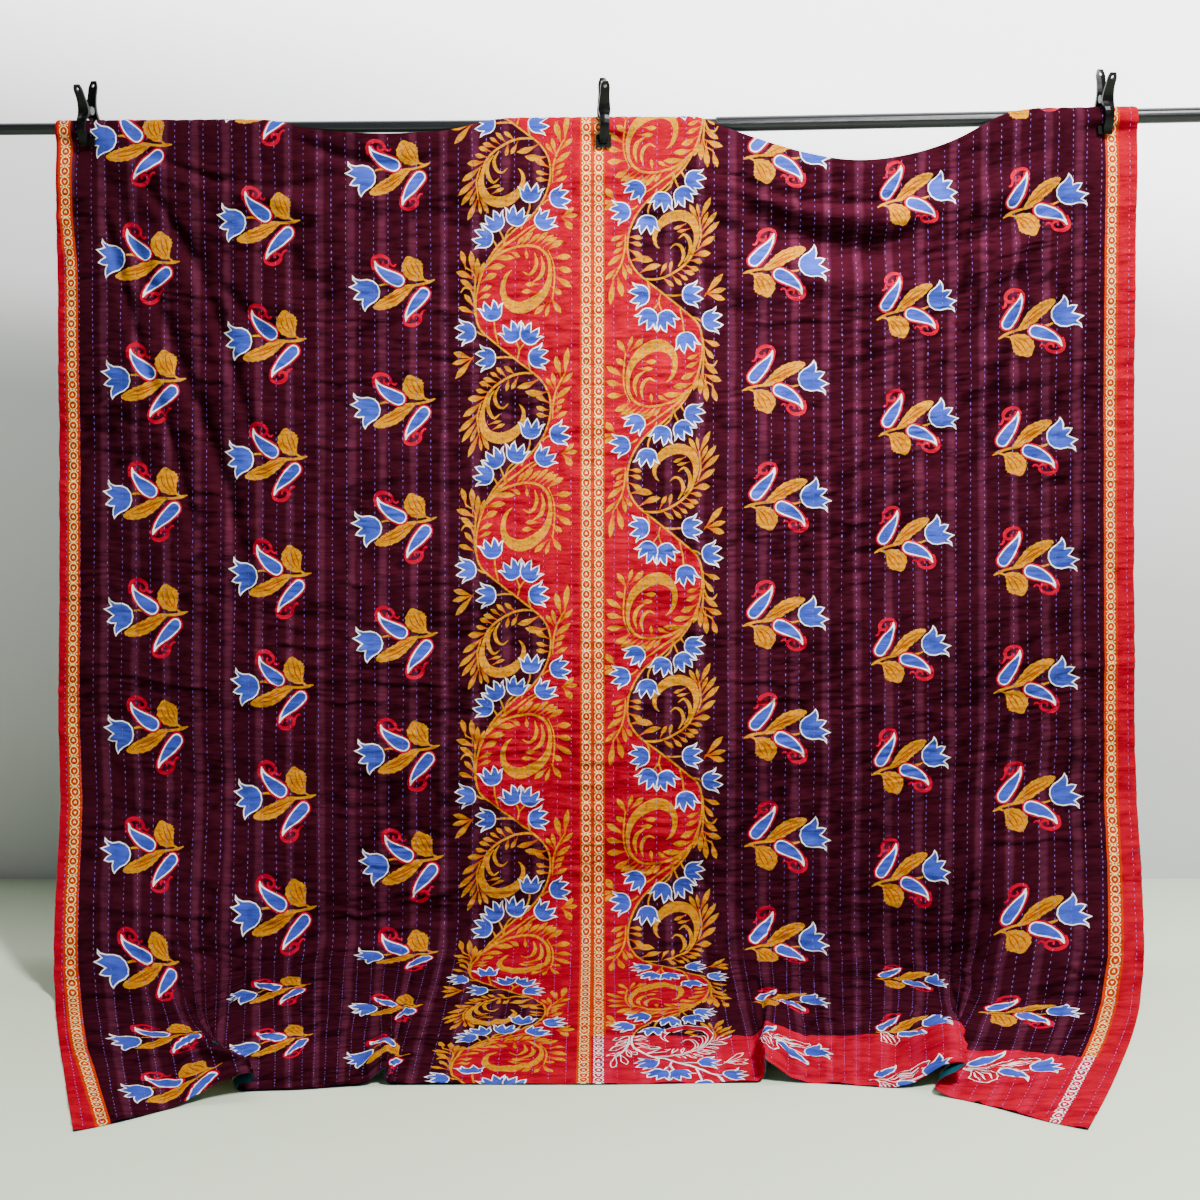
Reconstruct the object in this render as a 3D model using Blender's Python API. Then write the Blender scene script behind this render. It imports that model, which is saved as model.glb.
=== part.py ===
"""A kantha quilt clamped over a telescopic rod, its lower end spread out on the floor.

Metres, +Z up. The origin is on the rod's axis, halfway between its ends. +X is to the right and -Y is
towards the viewer, so the quilt's printed face looks along -Y and its lower end comes forward along -Y.
"""

import math
from collections import namedtuple

import bmesh
import bpy
import numpy as np
from mathutils import Vector
from mathutils.geometry import delaunay_2d_cdt

# Rod: a thin inner tube on the left runs into a thicker outer tube on the right. It sags at the joint.
ROD_HALF_LENGTH = 1.30
ROD_HEIGHT = 1.669
INNER_TUBE_RADIUS = 0.0124
OUTER_TUBE_RADIUS = 0.0158
OUTER_TUBE_START = 0.236
INNER_TUBE_RISE = 0.0066
OUTER_TUBE_RISE = 0.0200
SOCKET_DEPTH = 0.160
SOCKET_PLAY = 0.0005
SOCKET_FLOOR_GAP = 0.0040
ROD_END_ROUNDING = 0.0012
ROD_SIDES = 24

# Quilt: two printed panels sewn edge to edge, quilted through in one go.
CLOTH_HALF_WIDTH = 1.10
SEAM_GAP = 0.0007
FACE_THICKNESS = 0.0015
BACK_THICKNESS = 0.0009
CHANNEL_DEPTH = 0.0007
STITCH_ROWS_PER_PANEL = 33
ROD_CLEARANCE = 0.0025
BACK_TOLERANCE = 0.0003
COLUMNS_CLOSER = 2.0
WAIST_NARROWING = 0.009

# Where points of the cloth hang on the rod, left to right.
HungAt = namedtuple("HungAt", "across x")
HUNG_AT = (
    HungAt(-1.10, -1.106),
    HungAt(0.0, -0.0153),
    HungAt(1.10, 1.0916),
)

# Cloth taken past the rod's front line: over the rod where positive, and below that line where negative.
Wrap = namedtuple("Wrap", "across length")
HEM_WRAP = (
    Wrap(-1.10, 0.078),
    Wrap(-1.033, 0.098),
    Wrap(-0.92, 0.062),
    Wrap(-0.755, 0.030),
    Wrap(-0.66, 0.016),
    Wrap(-0.60, 0.000),
    Wrap(-0.50, -0.012),
    Wrap(-0.38, -0.014),
    Wrap(-0.27, -0.004),
    Wrap(-0.19, 0.020),
    Wrap(-0.10, 0.050),
    Wrap(0.0155, 0.098),
    Wrap(0.13, 0.050),
    Wrap(0.21, 0.018),
    Wrap(0.255, -0.002),
    Wrap(0.34, -0.034),
    Wrap(0.43, -0.062),
    Wrap(0.53, -0.079),
    Wrap(0.62, -0.073),
    Wrap(0.73, -0.042),
    Wrap(0.82, 0.004),
    Wrap(0.90, 0.034),
    Wrap(0.97, 0.072),
    Wrap(1.033, 0.100),
    Wrap(1.10, 0.082),
)

# How the lower part leaves the vertical: its lean forward, the radius at which it meets the floor, and how
# far in front of the rod its hem lies.
Foot = namedtuple("Foot", "across lean_deg radius reach")
FEET = (
    Foot(-1.10, 43.0, 0.10, 0.868),
    Foot(-1.00, 43.0, 0.10, 0.822),
    Foot(-0.90, 41.0, 0.10, 0.770),
    Foot(-0.80, 34.0, 0.09, 0.738),
    Foot(-0.70, 18.0, 0.07, 0.717),
    Foot(-0.60, 8.0, 0.06, 0.710),
    Foot(-0.45, 3.0, 0.06, 0.694),
    Foot(-0.32, 2.0, 0.08, 0.690),
    Foot(-0.15, 2.0, 0.11, 0.689),
    Foot(0.00, 2.0, 0.12, 0.689),
    Foot(0.30, 2.0, 0.09, 0.681),
    Foot(0.45, 3.0, 0.07, 0.684),
    Foot(0.62, 10.0, 0.06, 0.702),
    Foot(0.75, 22.0, 0.08, 0.708),
    Foot(0.84, 38.0, 0.10, 0.735),
    Foot(0.92, 42.0, 0.10, 0.775),
    Foot(1.00, 43.0, 0.10, 0.815),
    Foot(1.10, 43.0, 0.10, 0.862),
)
LEAN_HEIGHT = 0.42
LEAN_EASE = 0.20

# Folds at the lower end. At the hem each takes in some cloth over a short turn, and may carry a ridge with a
# steeper and a gentler side. Both die away above the hem.
Fold = namedtuple("Fold", "crest rise fall lift ridge_from turn turn_half taken taken_from ease drift")
FOLDS = (
    Fold(-1.00, 0.100, 0.100, 0.000, 0.30, -1.000, 0.100, 0.036, 1.15, 1.45, 0.00),
    Fold(-0.815, 0.120, 0.122, 0.040, 0.34, -0.760, 0.055, 0.117, 1.15, 1.45, -0.18),
    Fold(-0.55, 0.120, 0.120, 0.000, 0.30, -0.550, 0.120, 0.058, 1.00, 1.0, 0.00),
    Fold(-0.407, 0.055, 0.072, 0.031, 0.36, -0.375, 0.045, 0.064, 0.60, 1.0, 0.00),
    Fold(0.335, 0.054, 0.092, 0.045, 0.44, 0.316, 0.048, 0.060, 0.60, 1.0, 0.02),
    Fold(0.53, 0.150, 0.150, 0.000, 0.30, 0.530, 0.150, 0.066, 1.00, 1.0, 0.00),
    Fold(0.733, 0.110, 0.135, 0.047, 0.50, 0.790, 0.048, 0.142, 1.05, 1.9, -0.05),
    Fold(0.98, 0.110, 0.110, 0.000, 0.30, 0.980, 0.110, 0.052, 1.05, 1.9, 0.00),
)
FOLD_KEEPS_SHAPE = 0.22
FOLD_SPREADS = 0.22

# Soft creases on the hanging part: from one point of the cloth to another, with a sag between them.
Crease = namedtuple("Crease", "across0 down0 across1 down1 sag height width")
CREASES = (
    Crease(0.25, 0.10, 0.98, 0.06, 0.12, 0.010, 0.030),
    Crease(0.12, 0.12, 1.02, 0.10, 0.17, -0.008, 0.028),
    Crease(0.30, 0.22, 1.03, 0.12, 0.17, 0.008, 0.036),
    Crease(-1.03, 0.08, -0.45, 0.24, -0.04, 0.007, 0.026),
    Crease(-1.03, 0.12, -0.60, 0.52, -0.05, -0.006, 0.030),
    Crease(-0.70, 0.12, -0.06, 0.07, 0.06, 0.006, 0.026),
    Crease(1.03, 0.10, 0.62, 0.62, 0.03, -0.007, 0.034),
    Crease(0.03, 0.10, 0.36, 0.42, 0.03, -0.005, 0.032),
)

# Clamps: where they grip, how far they are twisted about the vertical, and how low their pads reach.
Clamp = namedtuple("Clamp", "name across twist_deg pad_bottom")
CLAMPS = (
    Clamp("left", -1.0362, -18.0, -0.0400),
    Clamp("centre", 0.0210, 5.0, -0.0470),
    Clamp("right", 1.0372, 10.0, -0.0400),
)
PINCHED_TO = 0.0045
PINCH_HALF_WIDTH = 0.055
PINCH_BELOW_ROD = 0.034
PINCH_HALF_HEIGHT = 0.040

# A clamp's arms from jaw to handle, in its own frame: forward of the grip and above the rod's axis.
Station = namedtuple("Station", "forward height half_width half_thick")
FRONT_ARM = (
    Station(0.0185, -0.0370, 0.0070, 0.0022),
    Station(0.0192, -0.0280, 0.0095, 0.0026),
    Station(0.0245, -0.0150, 0.0095, 0.0026),
    Station(0.0290, 0.0000, 0.0090, 0.0024),
    Station(0.0275, 0.0150, 0.0100, 0.0026),
    Station(0.0190, 0.0290, 0.0125, 0.0030),
    Station(0.0210, 0.0420, 0.0115, 0.0026),
    Station(0.0310, 0.0620, 0.0095, 0.0022),
    Station(0.0410, 0.0770, 0.0092, 0.0020),
    Station(0.0460, 0.0850, 0.0060, 0.0018),
)
BACK_ARM = (
    Station(-0.0185, -0.0370, 0.0070, 0.0022),
    Station(-0.0192, -0.0280, 0.0095, 0.0026),
    Station(-0.0245, -0.0150, 0.0095, 0.0026),
    Station(-0.0275, 0.0000, 0.0090, 0.0024),
    Station(-0.0240, 0.0150, 0.0100, 0.0026),
    Station(-0.0100, 0.0300, 0.0125, 0.0030),
    Station(-0.0080, 0.0440, 0.0115, 0.0026),
    Station(-0.0110, 0.0680, 0.0095, 0.0022),
    Station(-0.0150, 0.0890, 0.0090, 0.0020),
    Station(-0.0170, 0.0985, 0.0055, 0.0018),
)
ARM_RING_POINTS = 10
HANDLE_HOLE_RADIUS = 0.0030
HANDLE_HOLE_FROM_END = 0.0100
ARM_SLICE = 0.0070
PAD_TOP = -0.0180
PAD_FACE = 0.0150
PAD_HALF_WIDTH = 0.0155
PAD_LOWER_BEHIND = 0.0060
PAD_CLEARANCE = 0.0009
SPRING_FORWARD = 0.0052
SPRING_HEIGHT = 0.0350
SPRING_RADIUS = 0.0096
SPRING_WIRE = 0.0010
SPRING_HALF_LENGTH = 0.0110
SPRING_TURNS = 5

ROWS_OVER_ROD = 7
ROWS_BELOW_ROD = (0.008, 0.0155, 0.023, 0.032, 0.042, 0.060, 0.100, 0.170, 0.300, 0.550, 0.880)
ROWS_TO_FLOOR = (0.0, 0.28, 0.50, 0.66, 0.78, 0.87, 0.94, 1.0)
ROWS_ON_FLOOR = (0.20, 0.41, 0.62, 0.82, 1.0)
PATH_STEP = 0.004
PATH_LENGTH = 2.80


def smooth_step(t):
    t = np.clip(t, 0.0, 1.0)
    return t * t * (3.0 - 2.0 * t)


def smooth_table(x, xs, ys):
    """Values at x of a smooth curve through the table's points, with no overshoot to speak of."""
    x, xs, ys = (np.asarray(v, float) for v in (x, xs, ys))
    slopes = np.gradient(ys, xs)
    i = np.clip(np.searchsorted(xs, x) - 1, 0, len(xs) - 2)
    span = xs[i + 1] - xs[i]
    t = np.clip((x - xs[i]) / span, 0.0, 1.0)
    t2, t3 = t * t, t * t * t
    return (
        (2 * t3 - 3 * t2 + 1) * ys[i]
        + (t3 - 2 * t2 + t) * span * slopes[i]
        + (3 * t2 - 2 * t3) * ys[i + 1]
        + (t3 - t2) * span * slopes[i + 1]
    )


def column(table, name):
    return [getattr(row, name) for row in table]


def rod_axis_height(x):
    """The rod's axis at x, above the origin."""
    x = np.asarray(x, float)
    inner = INNER_TUBE_RISE * x
    outer = INNER_TUBE_RISE * OUTER_TUBE_START + OUTER_TUBE_RISE * (x - OUTER_TUBE_START)
    return np.where(x < OUTER_TUBE_START, inner, outer)


def rod_radius(x):
    """The rod's radius under the cloth, eased over the step between its tubes."""
    t = smooth_step((np.asarray(x, float) - OUTER_TUBE_START + 0.10) / 0.08)
    return INNER_TUBE_RADIUS + (OUTER_TUBE_RADIUS - INNER_TUBE_RADIUS) * t


class Drape:
    """Where the cloth's middle surface lies, for points given across the cloth and down from the rod."""

    def __init__(self, across):
        self.across = np.asarray(across, float)
        u = self.across
        self.x_hung = np.interp(u, column(HUNG_AT, "across"), column(HUNG_AT, "x"))
        self.wrap = smooth_table(u, column(HEM_WRAP, "across"), column(HEM_WRAP, "length"))
        self.turn = rod_radius(self.x_hung) + ROD_CLEARANCE + BACK_THICKNESS
        self.rod_z = rod_axis_height(self.x_hung)
        self.march()

    def march(self):
        """Follows every column of the cloth down from the rod, forward to the floor and out along it."""
        u = self.across
        feet = column(FEET, "across")
        lean = np.radians(smooth_table(u, feet, column(FEET, "lean_deg")))
        radius = smooth_table(u, feet, column(FEET, "radius"))
        reach = smooth_table(u, feet, column(FEET, "reach"))
        floor = -ROD_HEIGHT + BACK_THICKNESS
        steps = int(PATH_LENGTH / PATH_STEP) + 1
        self.path_y = np.empty((steps, len(u)))
        self.path_z = np.empty((steps, len(u)))
        self.path_angle = np.empty((steps, len(u)))
        y = -self.turn
        z = self.rod_z.copy()
        angle = np.zeros(len(u))
        for step in range(steps):
            self.path_y[step] = y
            self.path_z[step] = z
            self.path_angle[step] = angle
            above = z - floor
            leaning = lean * smooth_step((LEAN_HEIGHT - above) / LEAN_EASE)
            meeting = above <= radius * (1.0 - np.sin(angle)) + 1e-9
            turned = np.minimum(angle + PATH_STEP / radius, math.pi / 2)
            angle = np.where(meeting, turned, np.maximum(angle, leaning))
            y = y - PATH_STEP * np.sin(angle)
            z = np.maximum(z - PATH_STEP * np.cos(angle), floor)
            z = np.where(angle >= math.pi / 2 - 1e-6, floor, z)
        lengths = PATH_STEP * np.arange(steps)
        self.bottom = np.array(
            [np.interp(reach[i], -self.path_y[:, i], lengths) for i in range(len(u))]
        )
        self.leaves = self.rod_z + ROD_HEIGHT - LEAN_HEIGHT
        self.lands = lengths[np.argmax(self.path_angle >= math.pi / 2 - 1e-6, axis=0)]

    def top(self):
        return -self.wrap

    def along(self, path, down):
        """A path's values at the lengths in down, one row of lengths for each row of points."""
        at = np.clip(down / PATH_STEP, 0, len(path) - 1.001)
        low = at.astype(int)
        part = at - low
        columns = np.broadcast_to(np.arange(len(self.across)), down.shape)
        return path[low, columns] * (1 - part) + path[low + 1, columns] * part

    def base(self, down):
        """Points and forward normals' angles of the cloth before its folds."""
        over = np.clip(-down / self.turn, 0.0, math.pi)
        behind = np.clip(-down - math.pi * self.turn, 0.0, None)
        angle = np.where(down < 0, over, self.along(self.path_angle, down))
        y = np.where(down < 0, -self.turn * np.cos(over), self.along(self.path_y, down))
        z_over = self.rod_z + self.turn * np.sin(over) - behind
        z = np.where(down < 0, z_over, self.along(self.path_z, down))
        return y, z, angle

    def gathered(self, above_hem, fold):
        """Sideways shift of the cloth drawn in by a fold: all of the cloth on its outer side moves inwards."""
        growth = np.clip(1.0 - above_hem / fold.taken_from, 0.0, 1.0) ** fold.ease
        spread = 1.0 + np.clip(above_hem - FOLD_KEEPS_SHAPE, 0.0, None) / FOLD_SPREADS
        t = (self.across - fold.turn - fold.drift * above_hem) / (fold.turn_half * spread)
        share = smooth_step((t + 1.0) / 2.0)
        if fold.turn < 0:
            return fold.taken * growth * (1.0 - share)
        return -fold.taken * growth * share

    def ridge(self, above_hem, fold):
        """Height of a fold's ridge."""
        growth = smooth_step(1.0 - above_hem / fold.ridge_from) ** 0.8
        spread = 1.0 + np.clip(above_hem - FOLD_KEEPS_SHAPE, 0.0, None) / FOLD_SPREADS
        from_crest = self.across - fold.crest - fold.drift * above_hem
        rise = 1.0 + from_crest / (fold.rise * spread)
        fall = 1.0 - from_crest / (fold.fall * spread)
        return fold.lift * growth * smooth_step(np.minimum(rise, fall))

    def creased(self, down):
        """Height of the soft creases on the hanging part."""
        height = np.zeros(down.shape)
        for crease in CREASES:
            t = (self.across - crease.across0) / (crease.across1 - crease.across0)
            line = crease.down0 + (crease.down1 - crease.down0) * t + crease.sag * 4 * t * (1 - t)
            fade = smooth_step(t / 0.25) * smooth_step((1 - t) / 0.25)
            height += crease.height * fade * np.exp(-(((down - line) / crease.width) ** 2))
        return height

    def pinched(self, down):
        """How far the clamps press the cloth in below the rod, on its front and on its flap behind."""
        depth = np.zeros(down.shape)
        behind = down < -math.pi * self.turn / 2
        below = np.where(behind, -down - math.pi * self.turn, down)
        press = np.exp(-(((below - PINCH_BELOW_ROD) / PINCH_HALF_HEIGHT) ** 2))
        press = press * smooth_step((below - 0.006) / 0.022)
        for clamp in CLAMPS:
            from_clamp = self.across - clamp.across
            side = np.exp(-((from_clamp / PINCH_HALF_WIDTH) ** 2))
            turned = math.tan(math.radians(clamp.twist_deg)) * from_clamp
            depth += side * press * (self.turn - PINCHED_TO + np.where(behind, -turned, turned))
        return depth

    def points(self, down):
        """The cloth's middle surface: an array of rows, columns and x, y, z."""
        y, z, angle = self.base(down)
        above_hem = self.bottom - down
        x = np.broadcast_to(self.x_hung, down.shape).copy()
        waist = np.sin(math.pi * np.clip(down / ROD_HEIGHT, 0.0, 1.0))
        x -= WAIST_NARROWING * self.across / CLOTH_HALF_WIDTH * waist
        height = self.creased(down) - self.pinched(down)
        for fold in FOLDS:
            x += self.gathered(above_hem, fold)
            height += self.ridge(above_hem, fold)
        y = y - height * np.cos(angle)
        z = z + height * np.sin(angle)
        return np.stack([x, y, z], axis=-1)


def row_lengths(drape):
    """Lengths down the cloth at which its rows of points lie: close over the rod and on the floor."""
    top = drape.top()
    start = np.maximum(top, 0.0) + 0.004
    rows = [top + (start - top) * k / ROWS_OVER_ROD for k in range(ROWS_OVER_ROD + 1)]
    rows += [start + below for below in ROWS_BELOW_ROD]
    rows += [drape.leaves + (drape.lands - drape.leaves) * part for part in ROWS_TO_FLOOR]
    rows += [drape.lands + (drape.bottom - drape.lands) * part for part in ROWS_ON_FLOOR]
    return np.array(rows)


def surface_normals(points):
    """Unit normals of a grid of points, out of the printed face."""
    down = np.gradient(points, axis=0)
    across = np.gradient(points, axis=1)
    normal = np.cross(down, across)
    return normal / np.linalg.norm(normal, axis=-1, keepdims=True)


def material(name, colour, roughness, metallic=0.0):
    made = bpy.data.materials.new(name)
    made.use_nodes = True
    shader = made.node_tree.nodes["Principled BSDF"]
    shader.inputs["Base Color"].default_value = (*colour, 1.0)
    shader.inputs["Roughness"].default_value = roughness
    shader.inputs["Metallic"].default_value = metallic
    return made


def add_object(name, bm, made_of, smooth=True):
    mesh = bpy.data.meshes.new(name)
    bm.to_mesh(mesh)
    bm.free()
    mesh.materials.append(made_of)
    if smooth:
        mesh.shade_smooth()
        mesh.set_sharp_from_angle(angle=math.radians(40))
    made = bpy.data.objects.new(name, mesh)
    bpy.context.scene.collection.objects.link(made)
    return made


def spread_columns(left, right):
    """Places of the columns across a panel, closer together where its folds turn."""
    fine = np.linspace(left, right, 1101)
    density = np.ones(len(fine))
    for fold in FOLDS:
        if fold.lift > 0:
            density += COLUMNS_CLOSER * np.exp(-(((fine - fold.turn) / fold.turn_half) ** 2))
    total = np.concatenate([[0.0], np.cumsum((density[1:] + density[:-1]) / 2)])
    columns = 2 * STITCH_ROWS_PER_PANEL
    return np.interp(np.linspace(0.0, total[-1], columns + 1), total, fine)


def split_cells(back):
    """Which cells of the plain back, two columns wide, bend or twist too much to be left whole."""
    left, middle, right = back[:, :-2:2], back[:, 1:-1:2], back[:, 2::2]
    normal = surface_normals(back)[:, 1:-1:2]
    bow = np.abs(np.sum((middle - (left + right) / 2) * normal, axis=-1))
    twist = left[:-1] + right[1:] - right[:-1] - left[1:]
    twist = np.abs(np.sum(twist * normal[:-1], axis=-1)) / 4
    return np.maximum(bow[:-1], bow[1:]) + twist > BACK_TOLERANCE


def fan(bm, corners):
    for two, three in zip(corners[1:], corners[2:]):
        bm.faces.new((corners[0], two, three))


def quilt_panel(name, left, right, made_of):
    """One printed panel with its backing: a closed sheet with a shallow channel at each row of stitches."""
    columns = 2 * STITCH_ROWS_PER_PANEL
    across = spread_columns(left, right)
    drape = Drape(across)
    middle = drape.points(row_lengths(drape))
    normal = surface_normals(middle)
    channel = np.where(np.arange(columns + 1) % 2 == 1, CHANNEL_DEPTH, 0.0)
    face = middle + normal * (FACE_THICKNESS - channel)[None, :, None]
    back = middle - normal * BACK_THICKNESS
    back[..., 2] = np.maximum(back[..., 2], -ROD_HEIGHT)

    bm = bmesh.new()
    rows = len(middle)
    split = split_cells(back)
    split[:, 0] = split[:, -1] = True
    face_verts = [[bm.verts.new(p) for p in row] for row in face]
    back_verts = []
    for r in range(rows):
        row = {}
        for i in range(columns + 1):
            beside = split[max(r - 1, 0) : r + 1, min(i // 2, columns // 2 - 1)]
            if i % 2 == 0 or beside.any():
                row[i] = bm.verts.new(back[r, i])
        back_verts.append(row)
    for r in range(rows - 1):
        above, below = face_verts[r], face_verts[r + 1]
        for i in range(columns):
            bm.faces.new((above[i], below[i], below[i + 1]))
            bm.faces.new((above[i], below[i + 1], above[i + 1]))
        above, below = back_verts[r], back_verts[r + 1]
        for i in range(0, columns, 2):
            if i + 1 in above and i + 1 in below:
                for k in (i, i + 1):
                    bm.faces.new((below[k + 1], below[k], above[k]))
                    bm.faces.new((above[k + 1], below[k + 1], above[k]))
            elif i + 1 in above:
                fan(bm, (above[i + 1], above[i + 2], below[i + 2], below[i], above[i]))
            elif i + 1 in below:
                fan(bm, (below[i + 1], below[i], above[i], above[i + 2], below[i + 2]))
            else:
                fan(bm, (above[i], above[i + 2], below[i + 2], below[i]))
        for edge, order in ((0, 1), (columns, -1)):
            corner = (
                back_verts[r][edge],
                back_verts[r + 1][edge],
                face_verts[r + 1][edge],
                face_verts[r][edge],
            )
            bm.faces.new(corner[::order])
    for r, order in ((0, 1), (rows - 1, -1)):
        kept = sorted(back_verts[r])
        for i, j in zip(kept, kept[1:]):
            hem = face_verts[r][i + 1 : j + 1] + [back_verts[r][j], back_verts[r][i], face_verts[r][i]]
            fan(bm, hem[::order] if order > 0 else [hem[0]] + hem[:0:-1])
    bmesh.ops.triangulate(bm, faces=bm.faces[:])
    bmesh.ops.recalc_face_normals(bm, faces=bm.faces[:])
    add_object(name, bm, made_of)
    return across, face


def lathe(profile, place, sides):
    """A closed solid turned about its own axis: rings of (along, radius), a radius of 0 closing an end."""
    bm = bmesh.new()
    rings = []
    for along, radius in profile:
        if radius == 0:
            rings.append([bm.verts.new(place(along, 0.0, 0.0))])
            continue
        turns = [2 * math.pi * k / sides for k in range(sides)]
        rings.append([bm.verts.new(place(along, radius * math.cos(t), radius * math.sin(t))) for t in turns])
    for one, two in zip(rings, rings[1:]):
        for k in range(sides):
            n = (k + 1) % sides
            if len(one) == 1:
                bm.faces.new((one[0], two[n], two[k]))
            elif len(two) == 1:
                bm.faces.new((one[k], one[n], two[0]))
            else:
                bm.faces.new((one[k], one[n], two[n], two[k]))
    bmesh.ops.recalc_face_normals(bm, faces=bm.faces[:])
    return bm


def rod_place(along, side, up):
    """Places a point about the rod's axis, which is bent where its outer tube starts."""
    slope = INNER_TUBE_RISE if along < OUTER_TUBE_START else OUTER_TUBE_RISE
    height = float(rod_axis_height(along))
    lean = math.atan(slope)
    return (along - up * math.sin(lean), side, height + up * math.cos(lean))


def rod(made_of):
    """The thin tube, and the thick tube that it slides into."""
    edge = ROD_END_ROUNDING
    r = INNER_TUBE_RADIUS
    left = -ROD_HALF_LENGTH
    right = OUTER_TUBE_START + SOCKET_DEPTH
    profile = [(left, 0), (left, r - edge), (left + edge, r)]
    profile += [(OUTER_TUBE_START, r), (right - edge, r), (right, r - edge), (right, 0)]
    add_object("rod_inner_tube", lathe(profile, rod_place, ROD_SIDES), made_of)
    bore = INNER_TUBE_RADIUS + SOCKET_PLAY
    r = OUTER_TUBE_RADIUS
    left = OUTER_TUBE_START
    right = ROD_HALF_LENGTH
    floor = left + SOCKET_DEPTH + SOCKET_FLOOR_GAP
    profile = [(floor, 0), (floor, bore), (left, bore), (left, r - edge), (left + edge, r)]
    profile += [(right - edge, r), (right, r - edge), (right, 0)]
    add_object("rod_outer_tube", lathe(profile, rod_place, ROD_SIDES), made_of)


def clamp_place(clamp):
    """Places a clamp's own points (across, forward, height), twisted about the vertical at its grip."""
    x = float(np.interp(clamp.across, column(HUNG_AT, "across"), column(HUNG_AT, "x")))
    z = float(rod_axis_height(x))
    twist = math.radians(clamp.twist_deg)

    def place(across, forward, height):
        return (
            x + across * math.cos(twist) + forward * math.sin(twist),
            across * math.sin(twist) - forward * math.cos(twist),
            z + height,
        )

    return place


def arm_sections(stations):
    """Even slices along an arm's curve: forward, height, half width, half thickness and unit direction."""
    knots = np.array(stations, float)
    steps = np.hypot(np.diff(knots[:, 0]), np.diff(knots[:, 1]))
    at = np.concatenate([[0.0], np.cumsum(steps)])
    count = int(round(at[-1] / ARM_SLICE))
    where = np.linspace(0.0, at[-1], count + 1)
    values = np.stack([smooth_table(where, at, knots[:, k]) for k in range(4)], axis=1)
    way = np.gradient(values[:, :2], axis=0)
    way /= np.linalg.norm(way, axis=1, keepdims=True)
    return where, values, way


def clamp_arm(name, stations, place, made_of):
    """A bent plastic arm with a rounded rim all round, and a hanging hole near the end of its handle."""
    where, values, way = arm_sections(stations)
    length = where[-1]
    hole_at = length - HANDLE_HOLE_FROM_END

    def half_width(s):
        return float(np.interp(s, where, values[:, 2]))

    side = [(half_width(s), s) for s in where]
    outline = side + [(-w, s) for w, s in reversed(side)]
    points = list(outline)
    edges = [(k, (k + 1) % len(outline)) for k in range(len(outline))]
    first = len(points)
    for k in range(ARM_RING_POINTS):
        t = 2 * math.pi * k / ARM_RING_POINTS
        r = HANDLE_HOLE_RADIUS
        points.append((r * math.cos(t), hole_at + 1.35 * r * math.sin(t)))
        edges.append((first + k, first + (k + 1) % ARM_RING_POINTS))
    spine = [(0.0, s) for s in where[1:-1] if abs(s - hole_at) > 0.0065]
    points += spine
    made = delaunay_2d_cdt([Vector(p) for p in points], edges, [], 0, 1e-7)
    flat, triangles = made[0], made[2]

    def inside(x, s):
        hole = math.hypot(x, (s - hole_at) / 1.35) < HANDLE_HOLE_RADIUS * 0.98
        return abs(x) < half_width(s) and not hole

    kept = []
    for triangle in triangles:
        x = sum(flat[i].x for i in triangle) / 3
        s = sum(flat[i].y for i in triangle) / 3
        if inside(x, s):
            kept.append(triangle)

    bm = bmesh.new()
    sheets = []
    for out in (1.0, -1.0):
        sheet = []
        for v in flat:
            forward, height, _, thick = (float(np.interp(v.y, where, values[:, k])) for k in range(4))
            fy, fz = (float(np.interp(v.y, where, way[:, k])) for k in range(2))
            bulge = 1.0 + 0.35 * (1.0 - min(abs(v.x) / max(half_width(v.y), 1e-6), 1.0))
            offset = out * thick * bulge
            sheet.append(bm.verts.new(place(v.x, forward + fz * offset, height - fy * offset)))
        sheets.append(sheet)
    front, back = sheets
    rim = {}
    for a, b, c in kept:
        bm.faces.new((front[a], front[b], front[c]))
        bm.faces.new((back[c], back[b], back[a]))
        for one, two in ((a, b), (b, c), (c, a)):
            if (two, one) in rim:
                del rim[(two, one)]
            else:
                rim[(one, two)] = True
    for one, two in rim:
        bm.faces.new((front[two], front[one], back[one], back[two]))
    loose = [v for v in bm.verts if not v.link_faces]
    bmesh.ops.delete(bm, geom=loose, context="VERTS")
    bmesh.ops.triangulate(bm, faces=bm.faces[:])
    bmesh.ops.recalc_face_normals(bm, faces=bm.faces[:])
    return add_object(name, bm, made_of)


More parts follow.
